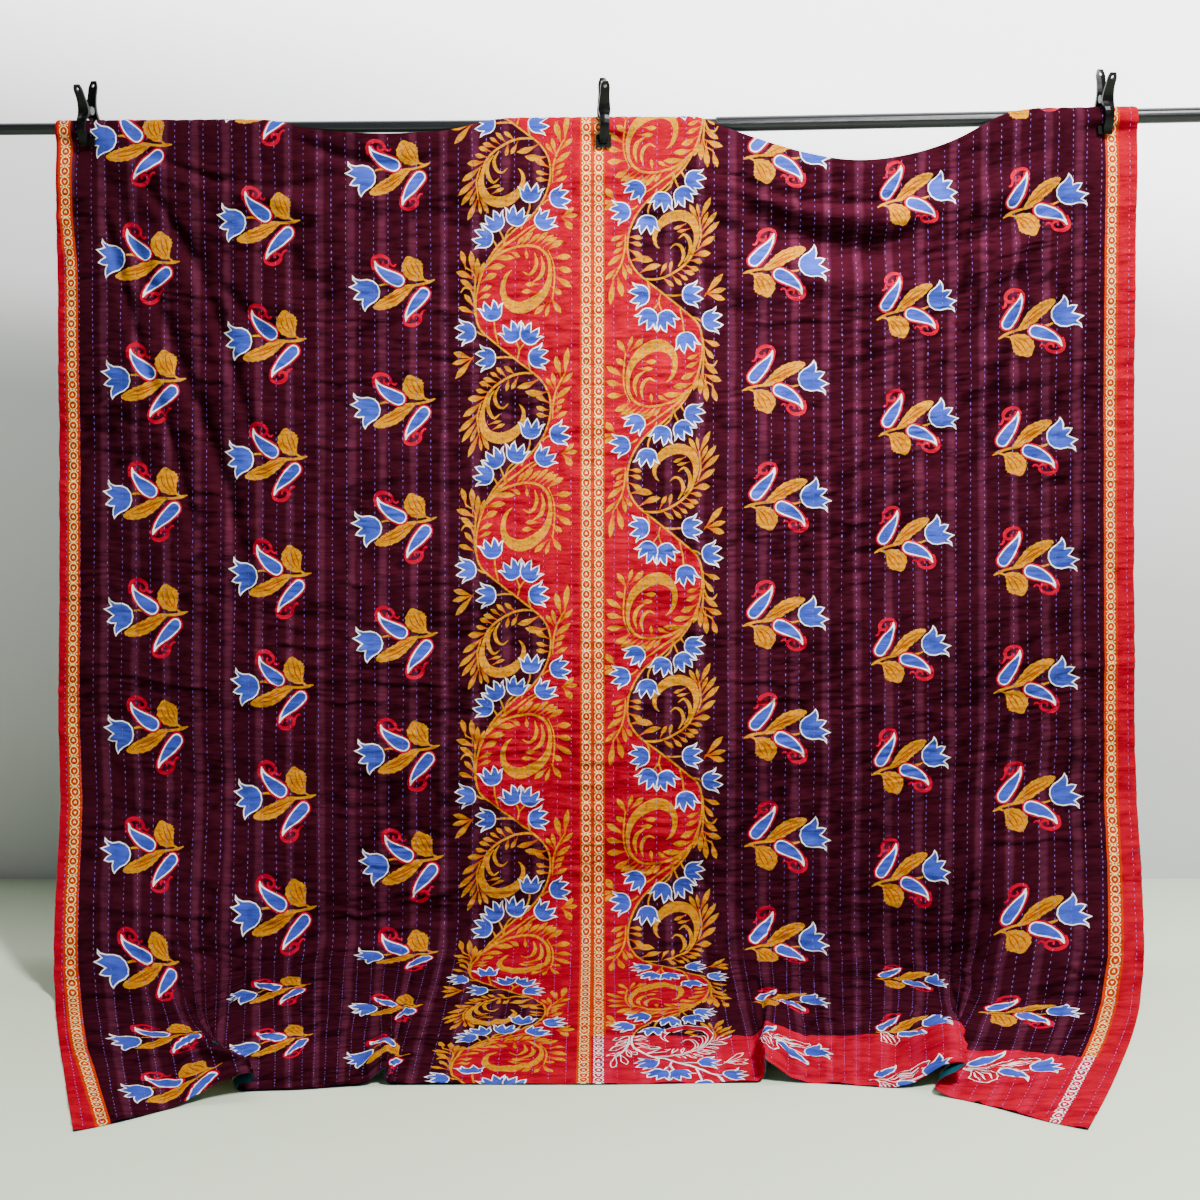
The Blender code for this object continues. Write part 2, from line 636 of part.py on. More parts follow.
def clamp_pad(name, clamp, behind, panel, made_of):
    """A soft jaw pad: its inner face follows the pinched cloth and its outer face is flat."""
    across, face = panel
    middle = int(np.argmin(np.abs(across - clamp.across)))
    share = PAD_HALF_WIDTH / (across[middle + 1] - across[middle])
    inner_face = []
    for beside in (middle - 1, middle, middle + 1):
        inner_face.append(face[:, middle] * (1 - share) + face[:, beside] * share)
    columns = range(3)
    sign = -1.0 if behind else 1.0
    x0, _, z0 = clamp_place(clamp)(0.0, 0.0, 0.0)
    twist = math.radians(clamp.twist_deg)
    rows = []
    for r in range(len(face)):
        x, y, z = face[r, middle]
        on_side = sign * y < 0
        lowest = clamp.pad_bottom - (PAD_LOWER_BEHIND if behind else 0.0)
        if on_side and PAD_TOP > z - z0 > lowest:
            rows.append(r)
    bm = bmesh.new()
    inner, outer = [], []
    for r in rows:
        inner_row, outer_row = [], []
        for k in columns:
            x, y, z = inner_face[k][r]
            out = -sign * (PAD_FACE / math.cos(twist)) + (x - x0) * math.tan(twist)
            inner_row.append(bm.verts.new((x, y - sign * PAD_CLEARANCE, z)))
            outer_row.append(bm.verts.new((x, out, z)))
        inner.append(inner_row)
        outer.append(outer_row)
    last_row, last_column = len(rows) - 1, len(columns) - 1
    for r in range(last_row):
        for k in range(last_column):
            bm.faces.new((outer[r][k], outer[r + 1][k], outer[r + 1][k + 1], outer[r][k + 1]))
            bm.faces.new((inner[r][k], inner[r][k + 1], inner[r + 1][k + 1]))
            bm.faces.new((inner[r][k], inner[r + 1][k + 1], inner[r + 1][k]))
        for k in (0, last_column):
            bm.faces.new((outer[r][k], inner[r][k], inner[r + 1][k], outer[r + 1][k]))
    for k in range(last_column):
        for r in (0, last_row):
            bm.faces.new((outer[r][k], outer[r][k + 1], inner[r][k + 1], inner[r][k]))
    bmesh.ops.recalc_face_normals(bm, faces=bm.faces[:])
    bmesh.ops.triangulate(bm, faces=bm.faces[:])
    return add_object(name, bm, made_of)


def clamp_spring(name, place, made_of):
    """The coil round the clamp's pin, between its arms."""
    profile = [(-SPRING_HALF_LENGTH, 0), (-SPRING_HALF_LENGTH, SPRING_RADIUS - SPRING_WIRE)]
    steps = 2 * SPRING_TURNS
    for k in range(1, steps):
        along = -SPRING_HALF_LENGTH + 2 * SPRING_HALF_LENGTH * k / steps
        profile.append((along, SPRING_RADIUS if k % 2 else SPRING_RADIUS - SPRING_WIRE))
    profile += [(SPRING_HALF_LENGTH, SPRING_RADIUS - SPRING_WIRE), (SPRING_HALF_LENGTH, 0)]

    def round_pin(along, side, up):
        return place(along, SPRING_FORWARD + side, SPRING_HEIGHT + up)

    return add_object(name, lathe(profile, round_pin, 8), made_of)


def main():
    for old in list(bpy.data.objects):
        bpy.data.objects.remove(old)
    cloth = material("quilt_cotton", (0.10, 0.02, 0.03), 0.9)
    steel = material("rod_black_steel", (0.012, 0.012, 0.013), 0.45)
    plastic = material("clamp_black_plastic", (0.010, 0.010, 0.011), 0.4)
    rubber = material("pad_black_rubber", (0.014, 0.014, 0.014), 0.8)
    spring = material("spring_dark_steel", (0.10, 0.10, 0.10), 0.4, 1.0)
    left = quilt_panel("quilt_panel_left", -CLOTH_HALF_WIDTH, -SEAM_GAP / 2, cloth)
    right = quilt_panel("quilt_panel_right", SEAM_GAP / 2, CLOTH_HALF_WIDTH, cloth)
    rod(steel)
    for clamp in CLAMPS:
        panel = left if clamp.across < 0 else right
        nearest = int(np.argmin(np.abs(panel[0] - clamp.across)))
        clamp = clamp._replace(across=float(panel[0][nearest]))
        place = clamp_place(clamp)
        clamp_arm(f"clamp_{clamp.name}_front_arm", FRONT_ARM, place, plastic)
        clamp_arm(f"clamp_{clamp.name}_back_arm", BACK_ARM, place, plastic)
        clamp_pad(f"clamp_{clamp.name}_front_pad", clamp, False, panel, rubber)
        clamp_pad(f"clamp_{clamp.name}_back_pad", clamp, True, panel, rubber)
        clamp_spring(f"clamp_{clamp.name}_spring", place, spring)


main()
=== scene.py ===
import math
from collections import namedtuple

import bpy
import numpy as np
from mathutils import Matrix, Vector
from mathutils.geometry import delaunay_2d_cdt
from mathutils.kdtree import KDTree


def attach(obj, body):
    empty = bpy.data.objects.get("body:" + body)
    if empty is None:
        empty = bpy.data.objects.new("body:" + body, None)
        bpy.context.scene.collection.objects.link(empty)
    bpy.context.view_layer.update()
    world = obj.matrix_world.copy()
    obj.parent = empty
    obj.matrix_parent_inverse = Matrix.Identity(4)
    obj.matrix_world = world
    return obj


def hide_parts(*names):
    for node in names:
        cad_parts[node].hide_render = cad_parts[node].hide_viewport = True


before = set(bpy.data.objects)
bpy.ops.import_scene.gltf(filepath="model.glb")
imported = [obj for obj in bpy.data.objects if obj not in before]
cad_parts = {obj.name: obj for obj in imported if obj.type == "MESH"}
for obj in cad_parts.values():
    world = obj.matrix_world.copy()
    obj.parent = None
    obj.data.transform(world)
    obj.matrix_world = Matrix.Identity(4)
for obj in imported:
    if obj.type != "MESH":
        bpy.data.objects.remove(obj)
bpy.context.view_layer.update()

# ---------------------------------------------------------------- the drape, as in the CAD frame
ROD_HEIGHT = 1.669
INNER_TUBE_RADIUS = 0.0124
OUTER_TUBE_RADIUS = 0.0158
OUTER_TUBE_START = 0.236
INNER_TUBE_RISE = 0.0066
OUTER_TUBE_RISE = 0.0200
CLOTH_HALF_WIDTH = 1.10
FACE_THICKNESS = 0.0015
BACK_THICKNESS = 0.0009
FACE_RISES = 0.0003
ROD_CLEARANCE = 0.0025
WAIST_NARROWING = 0.009

# Rows of a place across the cloth, and the x where it hangs.
HUNG_AT = ((-1.10, -1.106), (0.0, -0.0153), (1.10, 1.0916),)

# Rows of a place across, and how far down behind the rod the cloth ends.
HEM_WRAP = (
    (-1.10, 0.078), (-1.033, 0.098), (-0.92, 0.062), (-0.755, 0.030), (-0.66, 0.016), (-0.60, 0.000),
    (-0.50, -0.012), (-0.38, -0.014), (-0.27, -0.004), (-0.19, 0.020), (-0.10, 0.050), (0.0155, 0.098),
    (0.13, 0.050), (0.21, 0.018), (0.255, -0.002), (0.34, -0.034), (0.43, -0.062), (0.53, -0.079),
    (0.62, -0.073), (0.73, -0.042), (0.82, 0.004), (0.90, 0.034), (0.97, 0.072), (1.033, 0.100),
    (1.10, 0.082),
)

# Rows of a place across, the lean above the floor in degrees, the turn's radius and the reach on the floor.
FEET = (
    (-1.10, 43.0, 0.10, 0.868), (-1.00, 43.0, 0.10, 0.822), (-0.90, 41.0, 0.10, 0.770),
    (-0.80, 34.0, 0.09, 0.738), (-0.70, 18.0, 0.07, 0.717), (-0.60, 8.0, 0.06, 0.710),
    (-0.45, 3.0, 0.06, 0.694), (-0.32, 2.0, 0.08, 0.690), (-0.15, 2.0, 0.11, 0.689),
    (0.00, 2.0, 0.12, 0.689), (0.30, 2.0, 0.09, 0.681), (0.45, 3.0, 0.07, 0.684), (0.62, 10.0, 0.06, 0.702),
    (0.75, 22.0, 0.08, 0.708), (0.84, 38.0, 0.10, 0.735), (0.92, 42.0, 0.10, 0.775),
    (1.00, 43.0, 0.10, 0.815), (1.10, 43.0, 0.10, 0.862),
)
LEAN_HEIGHT = 0.42
LEAN_EASE = 0.20

Fold = namedtuple("Fold", "crest rise fall lift ridge_from turn turn_half taken taken_from ease drift")
FOLDS = (
    Fold(-1.00, 0.100, 0.100, 0.000, 0.30, -1.000, 0.100, 0.036, 1.15, 1.45, 0.00),
    Fold(-0.815, 0.120, 0.122, 0.040, 0.34, -0.760, 0.055, 0.117, 1.15, 1.45, -0.18),
    Fold(-0.55, 0.120, 0.120, 0.000, 0.30, -0.550, 0.120, 0.058, 1.00, 1.0, 0.00),
    Fold(-0.407, 0.055, 0.072, 0.031, 0.36, -0.375, 0.045, 0.064, 0.60, 1.0, 0.00),
    Fold(0.335, 0.054, 0.092, 0.045, 0.44, 0.316, 0.048, 0.060, 0.60, 1.0, 0.02),
    Fold(0.53, 0.150, 0.150, 0.000, 0.30, 0.530, 0.150, 0.066, 1.00, 1.0, 0.00),
    Fold(0.733, 0.110, 0.135, 0.047, 0.50, 0.790, 0.048, 0.142, 1.05, 1.9, -0.05),
    Fold(0.98, 0.110, 0.110, 0.000, 0.30, 0.980, 0.110, 0.052, 1.05, 1.9, 0.00),
)
FOLD_KEEPS_SHAPE = 0.22
FOLD_SPREADS = 0.22

Crease = namedtuple("Crease", "across0 down0 across1 down1 sag height width")
CREASES = (
    Crease(0.25, 0.10, 0.98, 0.06, 0.12, 0.010, 0.030),
    Crease(0.12, 0.12, 1.02, 0.10, 0.17, -0.008, 0.028),
    Crease(0.30, 0.22, 1.03, 0.12, 0.17, 0.008, 0.036),
    Crease(-1.03, 0.08, -0.45, 0.24, -0.04, 0.007, 0.026),
    Crease(-1.03, 0.12, -0.60, 0.52, -0.05, -0.006, 0.030),
    Crease(-0.70, 0.12, -0.06, 0.07, 0.06, 0.006, 0.026),
    Crease(1.03, 0.10, 0.62, 0.62, 0.03, -0.007, 0.034),
    Crease(0.03, 0.10, 0.36, 0.42, 0.03, -0.005, 0.032),
)

Clamp = namedtuple("Clamp", "name across twist_deg")
CLAMPS = (
    Clamp("left", -1.0362, -18.0),
    Clamp("centre", 0.0210, 5.0),
    Clamp("right", 1.0372, 10.0),
)
PINCHED_TO = 0.0045
PINCH_HALF_WIDTH = 0.055
PINCH_BELOW_ROD = 0.034
PINCH_HALF_HEIGHT = 0.040
PINCH_FROM, PINCH_EASE = 0.006, 0.022
PATH_STEP = 0.004
PATH_LENGTH = 2.80

# ---------------------------------------------------------------- the sewing
STITCH_ROWS = 38
ROW_PITCH = CLOTH_HALF_WIDTH / STITCH_ROWS
COLUMNS_IN_ROW = (0.0, 0.29, 0.50, 0.71)
GRID_DOWN = 0.0034
GRID_KEEPS_OFF = 0.0013
SAME_POINT = 0.0002
GROOVE_DEPTH = 0.0011
GROOVE_HALF_WIDTH = 0.0046
SEAM_DEPTH = 0.0012
SEAM_HALF_WIDTH = 0.0035
EDGE_ROUNDING = 0.005
STITCH_PITCH = 0.0121
STITCH_LENGTH = 0.0066
STITCH_HALF_WIDTH = 0.00055
STITCH_HEIGHT = 0.0006
BACK_COLUMNS_IN_ROW = 3
BACK_GRID_DOWN = 0.0062
SEED = 7

# The strips that the printed face is built in, as rows of stitches from the centre seam.
SCROLL_ROWS = 10.5
FIELD_ROWS = 35.5

# ---------------------------------------------------------------- the print
# The print is drawn in units of about 2 mm: x to the right and y down.
UNIT = 0.00204
DESIGN_PERIOD = 236.0
DARK_BAY_Y = 174.0
WAVE_HALF_WIDTH = 0.95
OUTLINE_OF_LEAF = 0.75


def smooth_step(t):
    t = np.clip(t, 0.0, 1.0)
    return t * t * (3.0 - 2.0 * t)


def bell(t):
    return np.exp(-(t**2))


def smooth_table(x, xs, ys):
    """Values at x of a smooth curve through the table's points."""
    x, xs, ys = (np.asarray(v, float) for v in (x, xs, ys))
    slopes = np.gradient(ys, xs)
    i = np.clip(np.searchsorted(xs, x) - 1, 0, len(xs) - 2)
    span = xs[i + 1] - xs[i]
    t = np.clip((x - xs[i]) / span, 0.0, 1.0)
    t2, t3 = t * t, t * t * t
    return (
        (2 * t3 - 3 * t2 + 1) * ys[i]
        + (t3 - 2 * t2 + t) * span * slopes[i]
        + (3 * t2 - 2 * t3) * ys[i + 1]
        + (t3 - t2) * span * slopes[i + 1]
    )


def rod_axis_height(x):
    x = np.asarray(x, float)
    inner = INNER_TUBE_RISE * x
    outer = INNER_TUBE_RISE * OUTER_TUBE_START + OUTER_TUBE_RISE * (x - OUTER_TUBE_START)
    return np.where(x < OUTER_TUBE_START, inner, outer)


def rod_radius(x):
    t = smooth_step((np.asarray(x, float) - OUTER_TUBE_START + 0.10) / 0.08)
    return INNER_TUBE_RADIUS + (OUTER_TUBE_RADIUS - INNER_TUBE_RADIUS) * t


class Drape:
    """Where the cloth's middle surface lies, for points given across the cloth and down from the rod."""

    def __init__(self, across):
        self.across = np.asarray(across, float)
        u = self.across
        self.x_hung = np.interp(u, *zip(*HUNG_AT))
        self.wrap = smooth_table(u, *zip(*HEM_WRAP))
        self.turn = rod_radius(self.x_hung) + ROD_CLEARANCE + BACK_THICKNESS
        self.rod_z = rod_axis_height(self.x_hung)
        self.march()

    def march(self):
        """Follows every column of the cloth down from the rod, forward to the floor and out along it."""
        u = self.across
        feet, *rest = zip(*FEET)
        lean_deg, radius, reach = (smooth_table(u, feet, values) for values in rest)
        lean = np.radians(lean_deg)
        floor = -ROD_HEIGHT + BACK_THICKNESS
        steps = int(PATH_LENGTH / PATH_STEP) + 1
        self.path_y = np.empty((steps, len(u)))
        self.path_z = np.empty((steps, len(u)))
        self.path_angle = np.empty((steps, len(u)))
        y = -self.turn
        z = self.rod_z.copy()
        angle = np.zeros(len(u))
        for step in range(steps):
            self.path_y[step] = y
            self.path_z[step] = z
            self.path_angle[step] = angle
            above = z - floor
            leaning = lean * smooth_step((LEAN_HEIGHT - above) / LEAN_EASE)
            meeting = above <= radius * (1.0 - np.sin(angle)) + 1e-9
            turned = np.minimum(angle + PATH_STEP / radius, math.pi / 2)
            angle = np.where(meeting, turned, np.maximum(angle, leaning))
            y = y - PATH_STEP * np.sin(angle)
            z = np.maximum(z - PATH_STEP * np.cos(angle), floor)
            z = np.where(angle >= math.pi / 2 - 1e-6, floor, z)
        lengths = PATH_STEP * np.arange(steps)
        self.bottom = np.array(
            [np.interp(reach[i], -self.path_y[:, i], lengths) for i in range(len(u))]
        )
        self.lands = lengths[np.argmax(self.path_angle >= math.pi / 2 - 1e-6, axis=0)]

    def along(self, path, down):
        at = np.clip(down / PATH_STEP, 0, len(path) - 1.001)
        low = at.astype(int)
        part = at - low
        columns = np.broadcast_to(np.arange(len(self.across)), down.shape)
        return path[low, columns] * (1 - part) + path[low + 1, columns] * part

    def base(self, down):
        over = np.clip(-down / self.turn, 0.0, math.pi)
        behind = np.clip(-down - math.pi * self.turn, 0.0, None)
        angle = np.where(down < 0, over, self.along(self.path_angle, down))
        y = np.where(down < 0, -self.turn * np.cos(over), self.along(self.path_y, down))
        z_over = self.rod_z + self.turn * np.sin(over) - behind
        z = np.where(down < 0, z_over, self.along(self.path_z, down))
        return y, z, angle

    def gathered(self, above_hem, fold):
        growth = np.clip(1.0 - above_hem / fold.taken_from, 0.0, 1.0) ** fold.ease
        spread = 1.0 + np.clip(above_hem - FOLD_KEEPS_SHAPE, 0.0, None) / FOLD_SPREADS
        t = (self.across - fold.turn - fold.drift * above_hem) / (fold.turn_half * spread)
        share = smooth_step((t + 1.0) / 2.0)
        if fold.turn < 0:
            return fold.taken * growth * (1.0 - share)
        return -fold.taken * growth * share

    def ridge(self, above_hem, fold):
        growth = smooth_step(1.0 - above_hem / fold.ridge_from) ** 0.8
        spread = 1.0 + np.clip(above_hem - FOLD_KEEPS_SHAPE, 0.0, None) / FOLD_SPREADS
        from_crest = self.across - fold.crest - fold.drift * above_hem
        rise = 1.0 + from_crest / (fold.rise * spread)
        fall = 1.0 - from_crest / (fold.fall * spread)
        return fold.lift * growth * smooth_step(np.minimum(rise, fall))

    def creased(self, down):
        height = np.zeros(down.shape)
        for crease in CREASES:
            t = (self.across - crease.across0) / (crease.across1 - crease.across0)
            line = crease.down0 + (crease.down1 - crease.down0) * t + crease.sag * 4 * t * (1 - t)
            fade = smooth_step(t / 0.25) * smooth_step((1 - t) / 0.25)
            height += crease.height * fade * bell((down - line) / crease.width)
        return height

    def pinched(self, down):
        depth = np.zeros(down.shape)
        behind = down < -math.pi * self.turn / 2
        below = np.where(behind, -down - math.pi * self.turn, down)
        press = bell((below - PINCH_BELOW_ROD) / PINCH_HALF_HEIGHT)
        press = press * smooth_step((below - PINCH_FROM) / PINCH_EASE)
        for clamp in CLAMPS:
            from_clamp = self.across - clamp.across
            side = bell(from_clamp / PINCH_HALF_WIDTH)
            turned = math.tan(math.radians(clamp.twist_deg)) * from_clamp
            depth += side * press * (self.turn - PINCHED_TO + np.where(behind, -turned, turned))
        return depth

    def points(self, down):
        y, z, angle = self.base(down)
        above_hem = self.bottom - down
        x = np.broadcast_to(self.x_hung, down.shape).copy()
        waist = np.sin(math.pi * np.clip(down / ROD_HEIGHT, 0.0, 1.0))
        x -= WAIST_NARROWING * self.across / CLOTH_HALF_WIDTH * waist
        height = self.creased(down) - self.pinched(down)
        for fold in FOLDS:
            x += self.gathered(above_hem, fold)
            height += self.ridge(above_hem, fold)
        y = y - height * np.cos(angle)
        z = z + height * np.sin(angle)
        return np.stack([x, y, z], axis=-1)


def surface_normals(points):
    down = np.gradient(points, axis=0)
    across = np.gradient(points, axis=1)
    normal = np.cross(down, across)
    return normal / np.linalg.norm(normal, axis=-1, keepdims=True)


def spline(points, pieces):
    """A smooth line through rows of numbers."""
    p = np.asarray(points, float)
    ends = np.vstack([2 * p[0] - p[1], p, 2 * p[-1] - p[-2]])
    made = []
    for k in range(len(p) - 1):
        a, b, c, d = ends[k : k + 4]
        for t in np.arange(pieces) / pieces:
            curved = (2 * a - 5 * b + 4 * c - d) * t * t + (3 * b - a - 3 * c + d) * t**3
            made.append(0.5 * (2 * b + (c - a) * t + curved))
    made.append(p[-1])
    return np.array(made)


def noise(u, s, cell_u, cell_s, seed):
    """Smooth random heights, from about -1 to 1, with soft lumps of the given size."""
    lattice = np.random.default_rng(SEED * 100 + seed).uniform(-1.0, 1.0, (64, 64))
    a, b = u / cell_u + 1000.0, s / cell_s + 1000.0
    i, j = np.floor(a).astype(int), np.floor(b).astype(int)
    fa, fb = smooth_step(a - i), smooth_step(b - j)

    def corner(di, dj):
        mixed = (i + di) * 73 + (j + dj) * 151 + ((i + di) * (j + dj)) % 61
        return lattice[mixed % 64, (mixed // 64 + (j + dj) * 7) % 64]

    low = corner(0, 0) * (1 - fa) + corner(1, 0) * fa
    high = corner(0, 1) * (1 - fa) + corner(1, 1) * fa
    return low * (1 - fb) + high * fb


# Sharp creases in the hanging cloth: the places across and down of one end, then of the other.
NIPS = (
    (-0.598, 0.396, -0.404, 0.396), (-0.598, 0.520, -0.426, 0.525), (-0.829, 0.515, -0.735, 0.525),
    (-0.874, 0.334, -0.747, 0.361), (-0.537, 0.919, -0.459, 0.943), (-0.725, 1.050, -0.514, 1.064),
    (-0.559, 1.124, -0.240, 1.146), (-0.890, 0.612, -0.757, 0.646), (-0.841, 0.734, -0.725, 0.760),
    (-0.371, 0.377, -0.271, 0.383), (-0.614, 0.650, -0.436, 0.663), (-0.604, 0.788, -0.471, 0.798),
    (-0.582, 1.176, -0.404, 1.169), (-1.043, 1.100, -0.725, 1.159), (-0.702, 1.400, -0.537, 1.431),
    (-1.056, 1.416, -0.945, 1.420), (-0.933, 1.603, -0.735, 1.597), (-0.559, 1.603, -0.382, 1.600),
    (-0.520, 1.630, -0.250, 1.625), (-0.600, 1.664, -0.316, 1.668), (-0.450, 1.560, -0.260, 1.565),
    (-0.500, 1.500, -0.300, 1.505), (0.265, 0.411, 0.581, 0.405), (0.494, 0.592, 0.569, 0.587),
    (0.725, 0.402, 0.748, 0.432), (0.745, 0.432, 0.780, 0.424), (0.239, 0.786, 0.319, 0.788),
    (0.482, 0.817, 0.575, 0.822), (0.233, 1.133, 0.406, 1.141), (0.265, 1.177, 0.482, 1.173),
    (0.482, 1.192, 0.600, 1.188), (0.776, 1.470, 1.036, 1.466), (0.396, 1.473, 0.472, 1.476),
    (0.265, 1.631, 0.472, 1.664), (0.428, 1.647, 0.581, 1.637), (0.623, 1.610, 0.776, 1.625),
    (0.940, 1.720, 1.042, 1.755),
)
NIP_DEPTH, NIP_HALF_WIDTH = 0.0030, 0.0036
NIP_WANDER, NIP_END = 0.0025, 0.3
LIP_HEIGHT, LIP_ABOVE, LIP_HALF_WIDTH = 0.0020, 0.0095, 0.0070
# The back is smoother than the face, and keeps this far behind its creases, puckers and pulls.
BACK_NIP_DEPTH, BACK_NIP_HALF_WIDTH = 0.0038, 0.0105
DEEPEST_PUCKER = 0.0031
BACK_SMOOTHER = 0.85
BACK_SLACK, BACK_PULL_SLACK, BACK_LIES_SLACK = 0.0021, 0.14, 0.0040
# Cloth that lies on the floor keeps this share of its relief, all of it upwards.
LYING_RELIEF = 0.8
LYING_FROM, OFF_FLOOR = 0.06, 0.012

# Long soft pulls from the clamps, under the sagging edge and at the folds: the depth, the half width and
# a line of points across and down.
PULLS = (
    (0.0095, 0.018, ((-1.000, 0.065), (-0.945, 0.229), (-0.878, 0.405), (-0.802, 0.602), (-0.757, 0.734),
     (-0.725, 0.875), (-0.720, 1.040))),
    (0.0070, 0.012, ((-1.020, 0.100), (-0.985, 0.250), (-0.940, 0.420), (-0.880, 0.600), (-0.830, 0.780),
     (-0.800, 0.950))),
    (0.0070, 0.014, ((-0.970, 0.060), (-0.880, 0.170), (-0.800, 0.320), (-0.745, 0.480), (-0.700, 0.650),
     (-0.680, 0.800))),
    (0.0080, 0.013, ((-0.990, 0.030), (-0.900, 0.060), (-0.800, 0.100), (-0.700, 0.120), (-0.600, 0.120),
     (-0.500, 0.090))),
    (0.0080, 0.013, ((-0.620, 0.020), (-0.550, 0.050), (-0.450, 0.075), (-0.350, 0.070), (-0.270, 0.030))),
    (0.0150, 0.027, ((0.249, 0.126), (0.374, 0.213), (0.537, 0.257), (0.668, 0.225), (0.776, 0.126),
     (0.863, 0.026))),
    (0.0060, 0.013, ((0.200, 0.070), (0.330, 0.130), (0.480, 0.168), (0.620, 0.158), (0.740, 0.095),
     (0.850, 0.010))),
    (0.0090, 0.018, ((0.972, 0.061), (0.895, 0.245), (0.841, 0.399), (0.809, 0.553), (0.754, 0.705),
     (0.710, 0.810))),
    (0.0065, 0.014, ((1.000, 0.090), (0.955, 0.280), (0.915, 0.470), (0.880, 0.660), (0.850, 0.850))),
    (0.0060, 0.010, ((0.920, 0.050), (0.840, 0.200), (0.775, 0.330), (0.735, 0.450))),
    (0.0045, 0.008, ((0.776, 0.126), (0.752, 0.270), (0.735, 0.420))),
    (0.0070, 0.010, ((-0.700, 1.660), (-0.708, 1.760), (-0.720, 1.860), (-0.750, 1.940), (-0.800, 2.000),
     (-0.860, 2.045), (-0.880, 2.080))),
    (-0.0080, 0.012, ((-0.880, 2.050), (-0.850, 2.110), (-0.800, 2.180), (-0.753, 2.270), (-0.745, 2.330))),
    (0.0080, 0.009, ((-0.362, 1.780), (-0.360, 1.860), (-0.355, 1.970), (-0.362, 2.090), (-0.366, 2.140))),
    (-0.0060, 0.009, ((-0.386, 2.060), (-0.384, 2.130), (-0.372, 2.210), (-0.350, 2.270), (-0.345, 2.320))),
    (0.0070, 0.009, ((0.318, 1.780), (0.324, 1.880), (0.328, 1.980), (0.322, 2.100), (0.310, 2.180))),
    (0.0070, 0.011, ((0.700, 1.660), (0.735, 1.780), (0.765, 1.900), (0.790, 2.020), (0.812, 2.120),
     (0.826, 2.200))),
)
# How far a line of puckers dips at each place across the cloth, and more so under the sagging edge.
DIP_AT = (
    (-1.10, -1.00, -0.80, -0.60, -0.45, 0.0, 0.25, 0.50, 0.75, 1.00, 1.10),
    (0.0, 0.0, 0.030, 0.055, 0.065, 0.065, 0.070, 0.060, 0.030, -0.010, -0.010),
)
SAG_MIDDLE, SAG_HALF_WIDTH, SAG_DIP, SAG_FADE = 0.58, 0.40, 0.075, 0.16
# How much a slope up, and a slope to the right, is painted lighter: painted shade, as from the key light
# above on the right.
PAINTED_SHADE_UP, PAINTED_SHADE_SIDE = 1.37, 0.76

# The table of the drape: its columns, its rows, its top and its steps.
TABLE_COLUMNS, TABLE_ROWS, TABLE_TOP = 881, 860, -0.125
TABLE_STEP_ACROSS, TABLE_STEP_DOWN = 0.0025, 0.003
# Waves of the cloth: a lump's size across and down, its seed and its height.
BROAD_WAVE = (0.240, 0.085, 4, 0.0040)
LOW_WAVE = (0.110, 0.026, 3, 0.0022)
LONG_WAVE = (0.060, 0.300, 5, 0.0018)
# Puckers: their slant, a pucker's size across and down, its seed and its height, about their mean.
PUCKERS = ((0.4, 0.027, 0.0066, 1, 0.0027), (-0.3, 0.050, 0.0120, 2, 0.0036))
PUCKER_MEAN = 0.38
# Some places are puckered more than others, and some have sunk lines too.
PATCHY = (0.130, 0.060, 6, 0.45)
SUNK_WHERE = (0.150, 0.085, 9, 1.1)
SUNK_SLANT, SUNK_LINE, SUNK_DEPTH = 0.25, (0.070, 0.019, 8, 4.0), 0.0019
# The cloth is calm at the rod and at the clamps.
CALM_FROM, CALM_EASE, CALM_ACROSS, CALM_DOWN, CALM_PUCKERS = 0.02, 0.10, 0.050, 0.075, 0.35


def wave(u, s, layer):
    """One layer of random waves."""
    wide, high, seed, height = layer
    return noise(u, s, wide, high, seed) * height


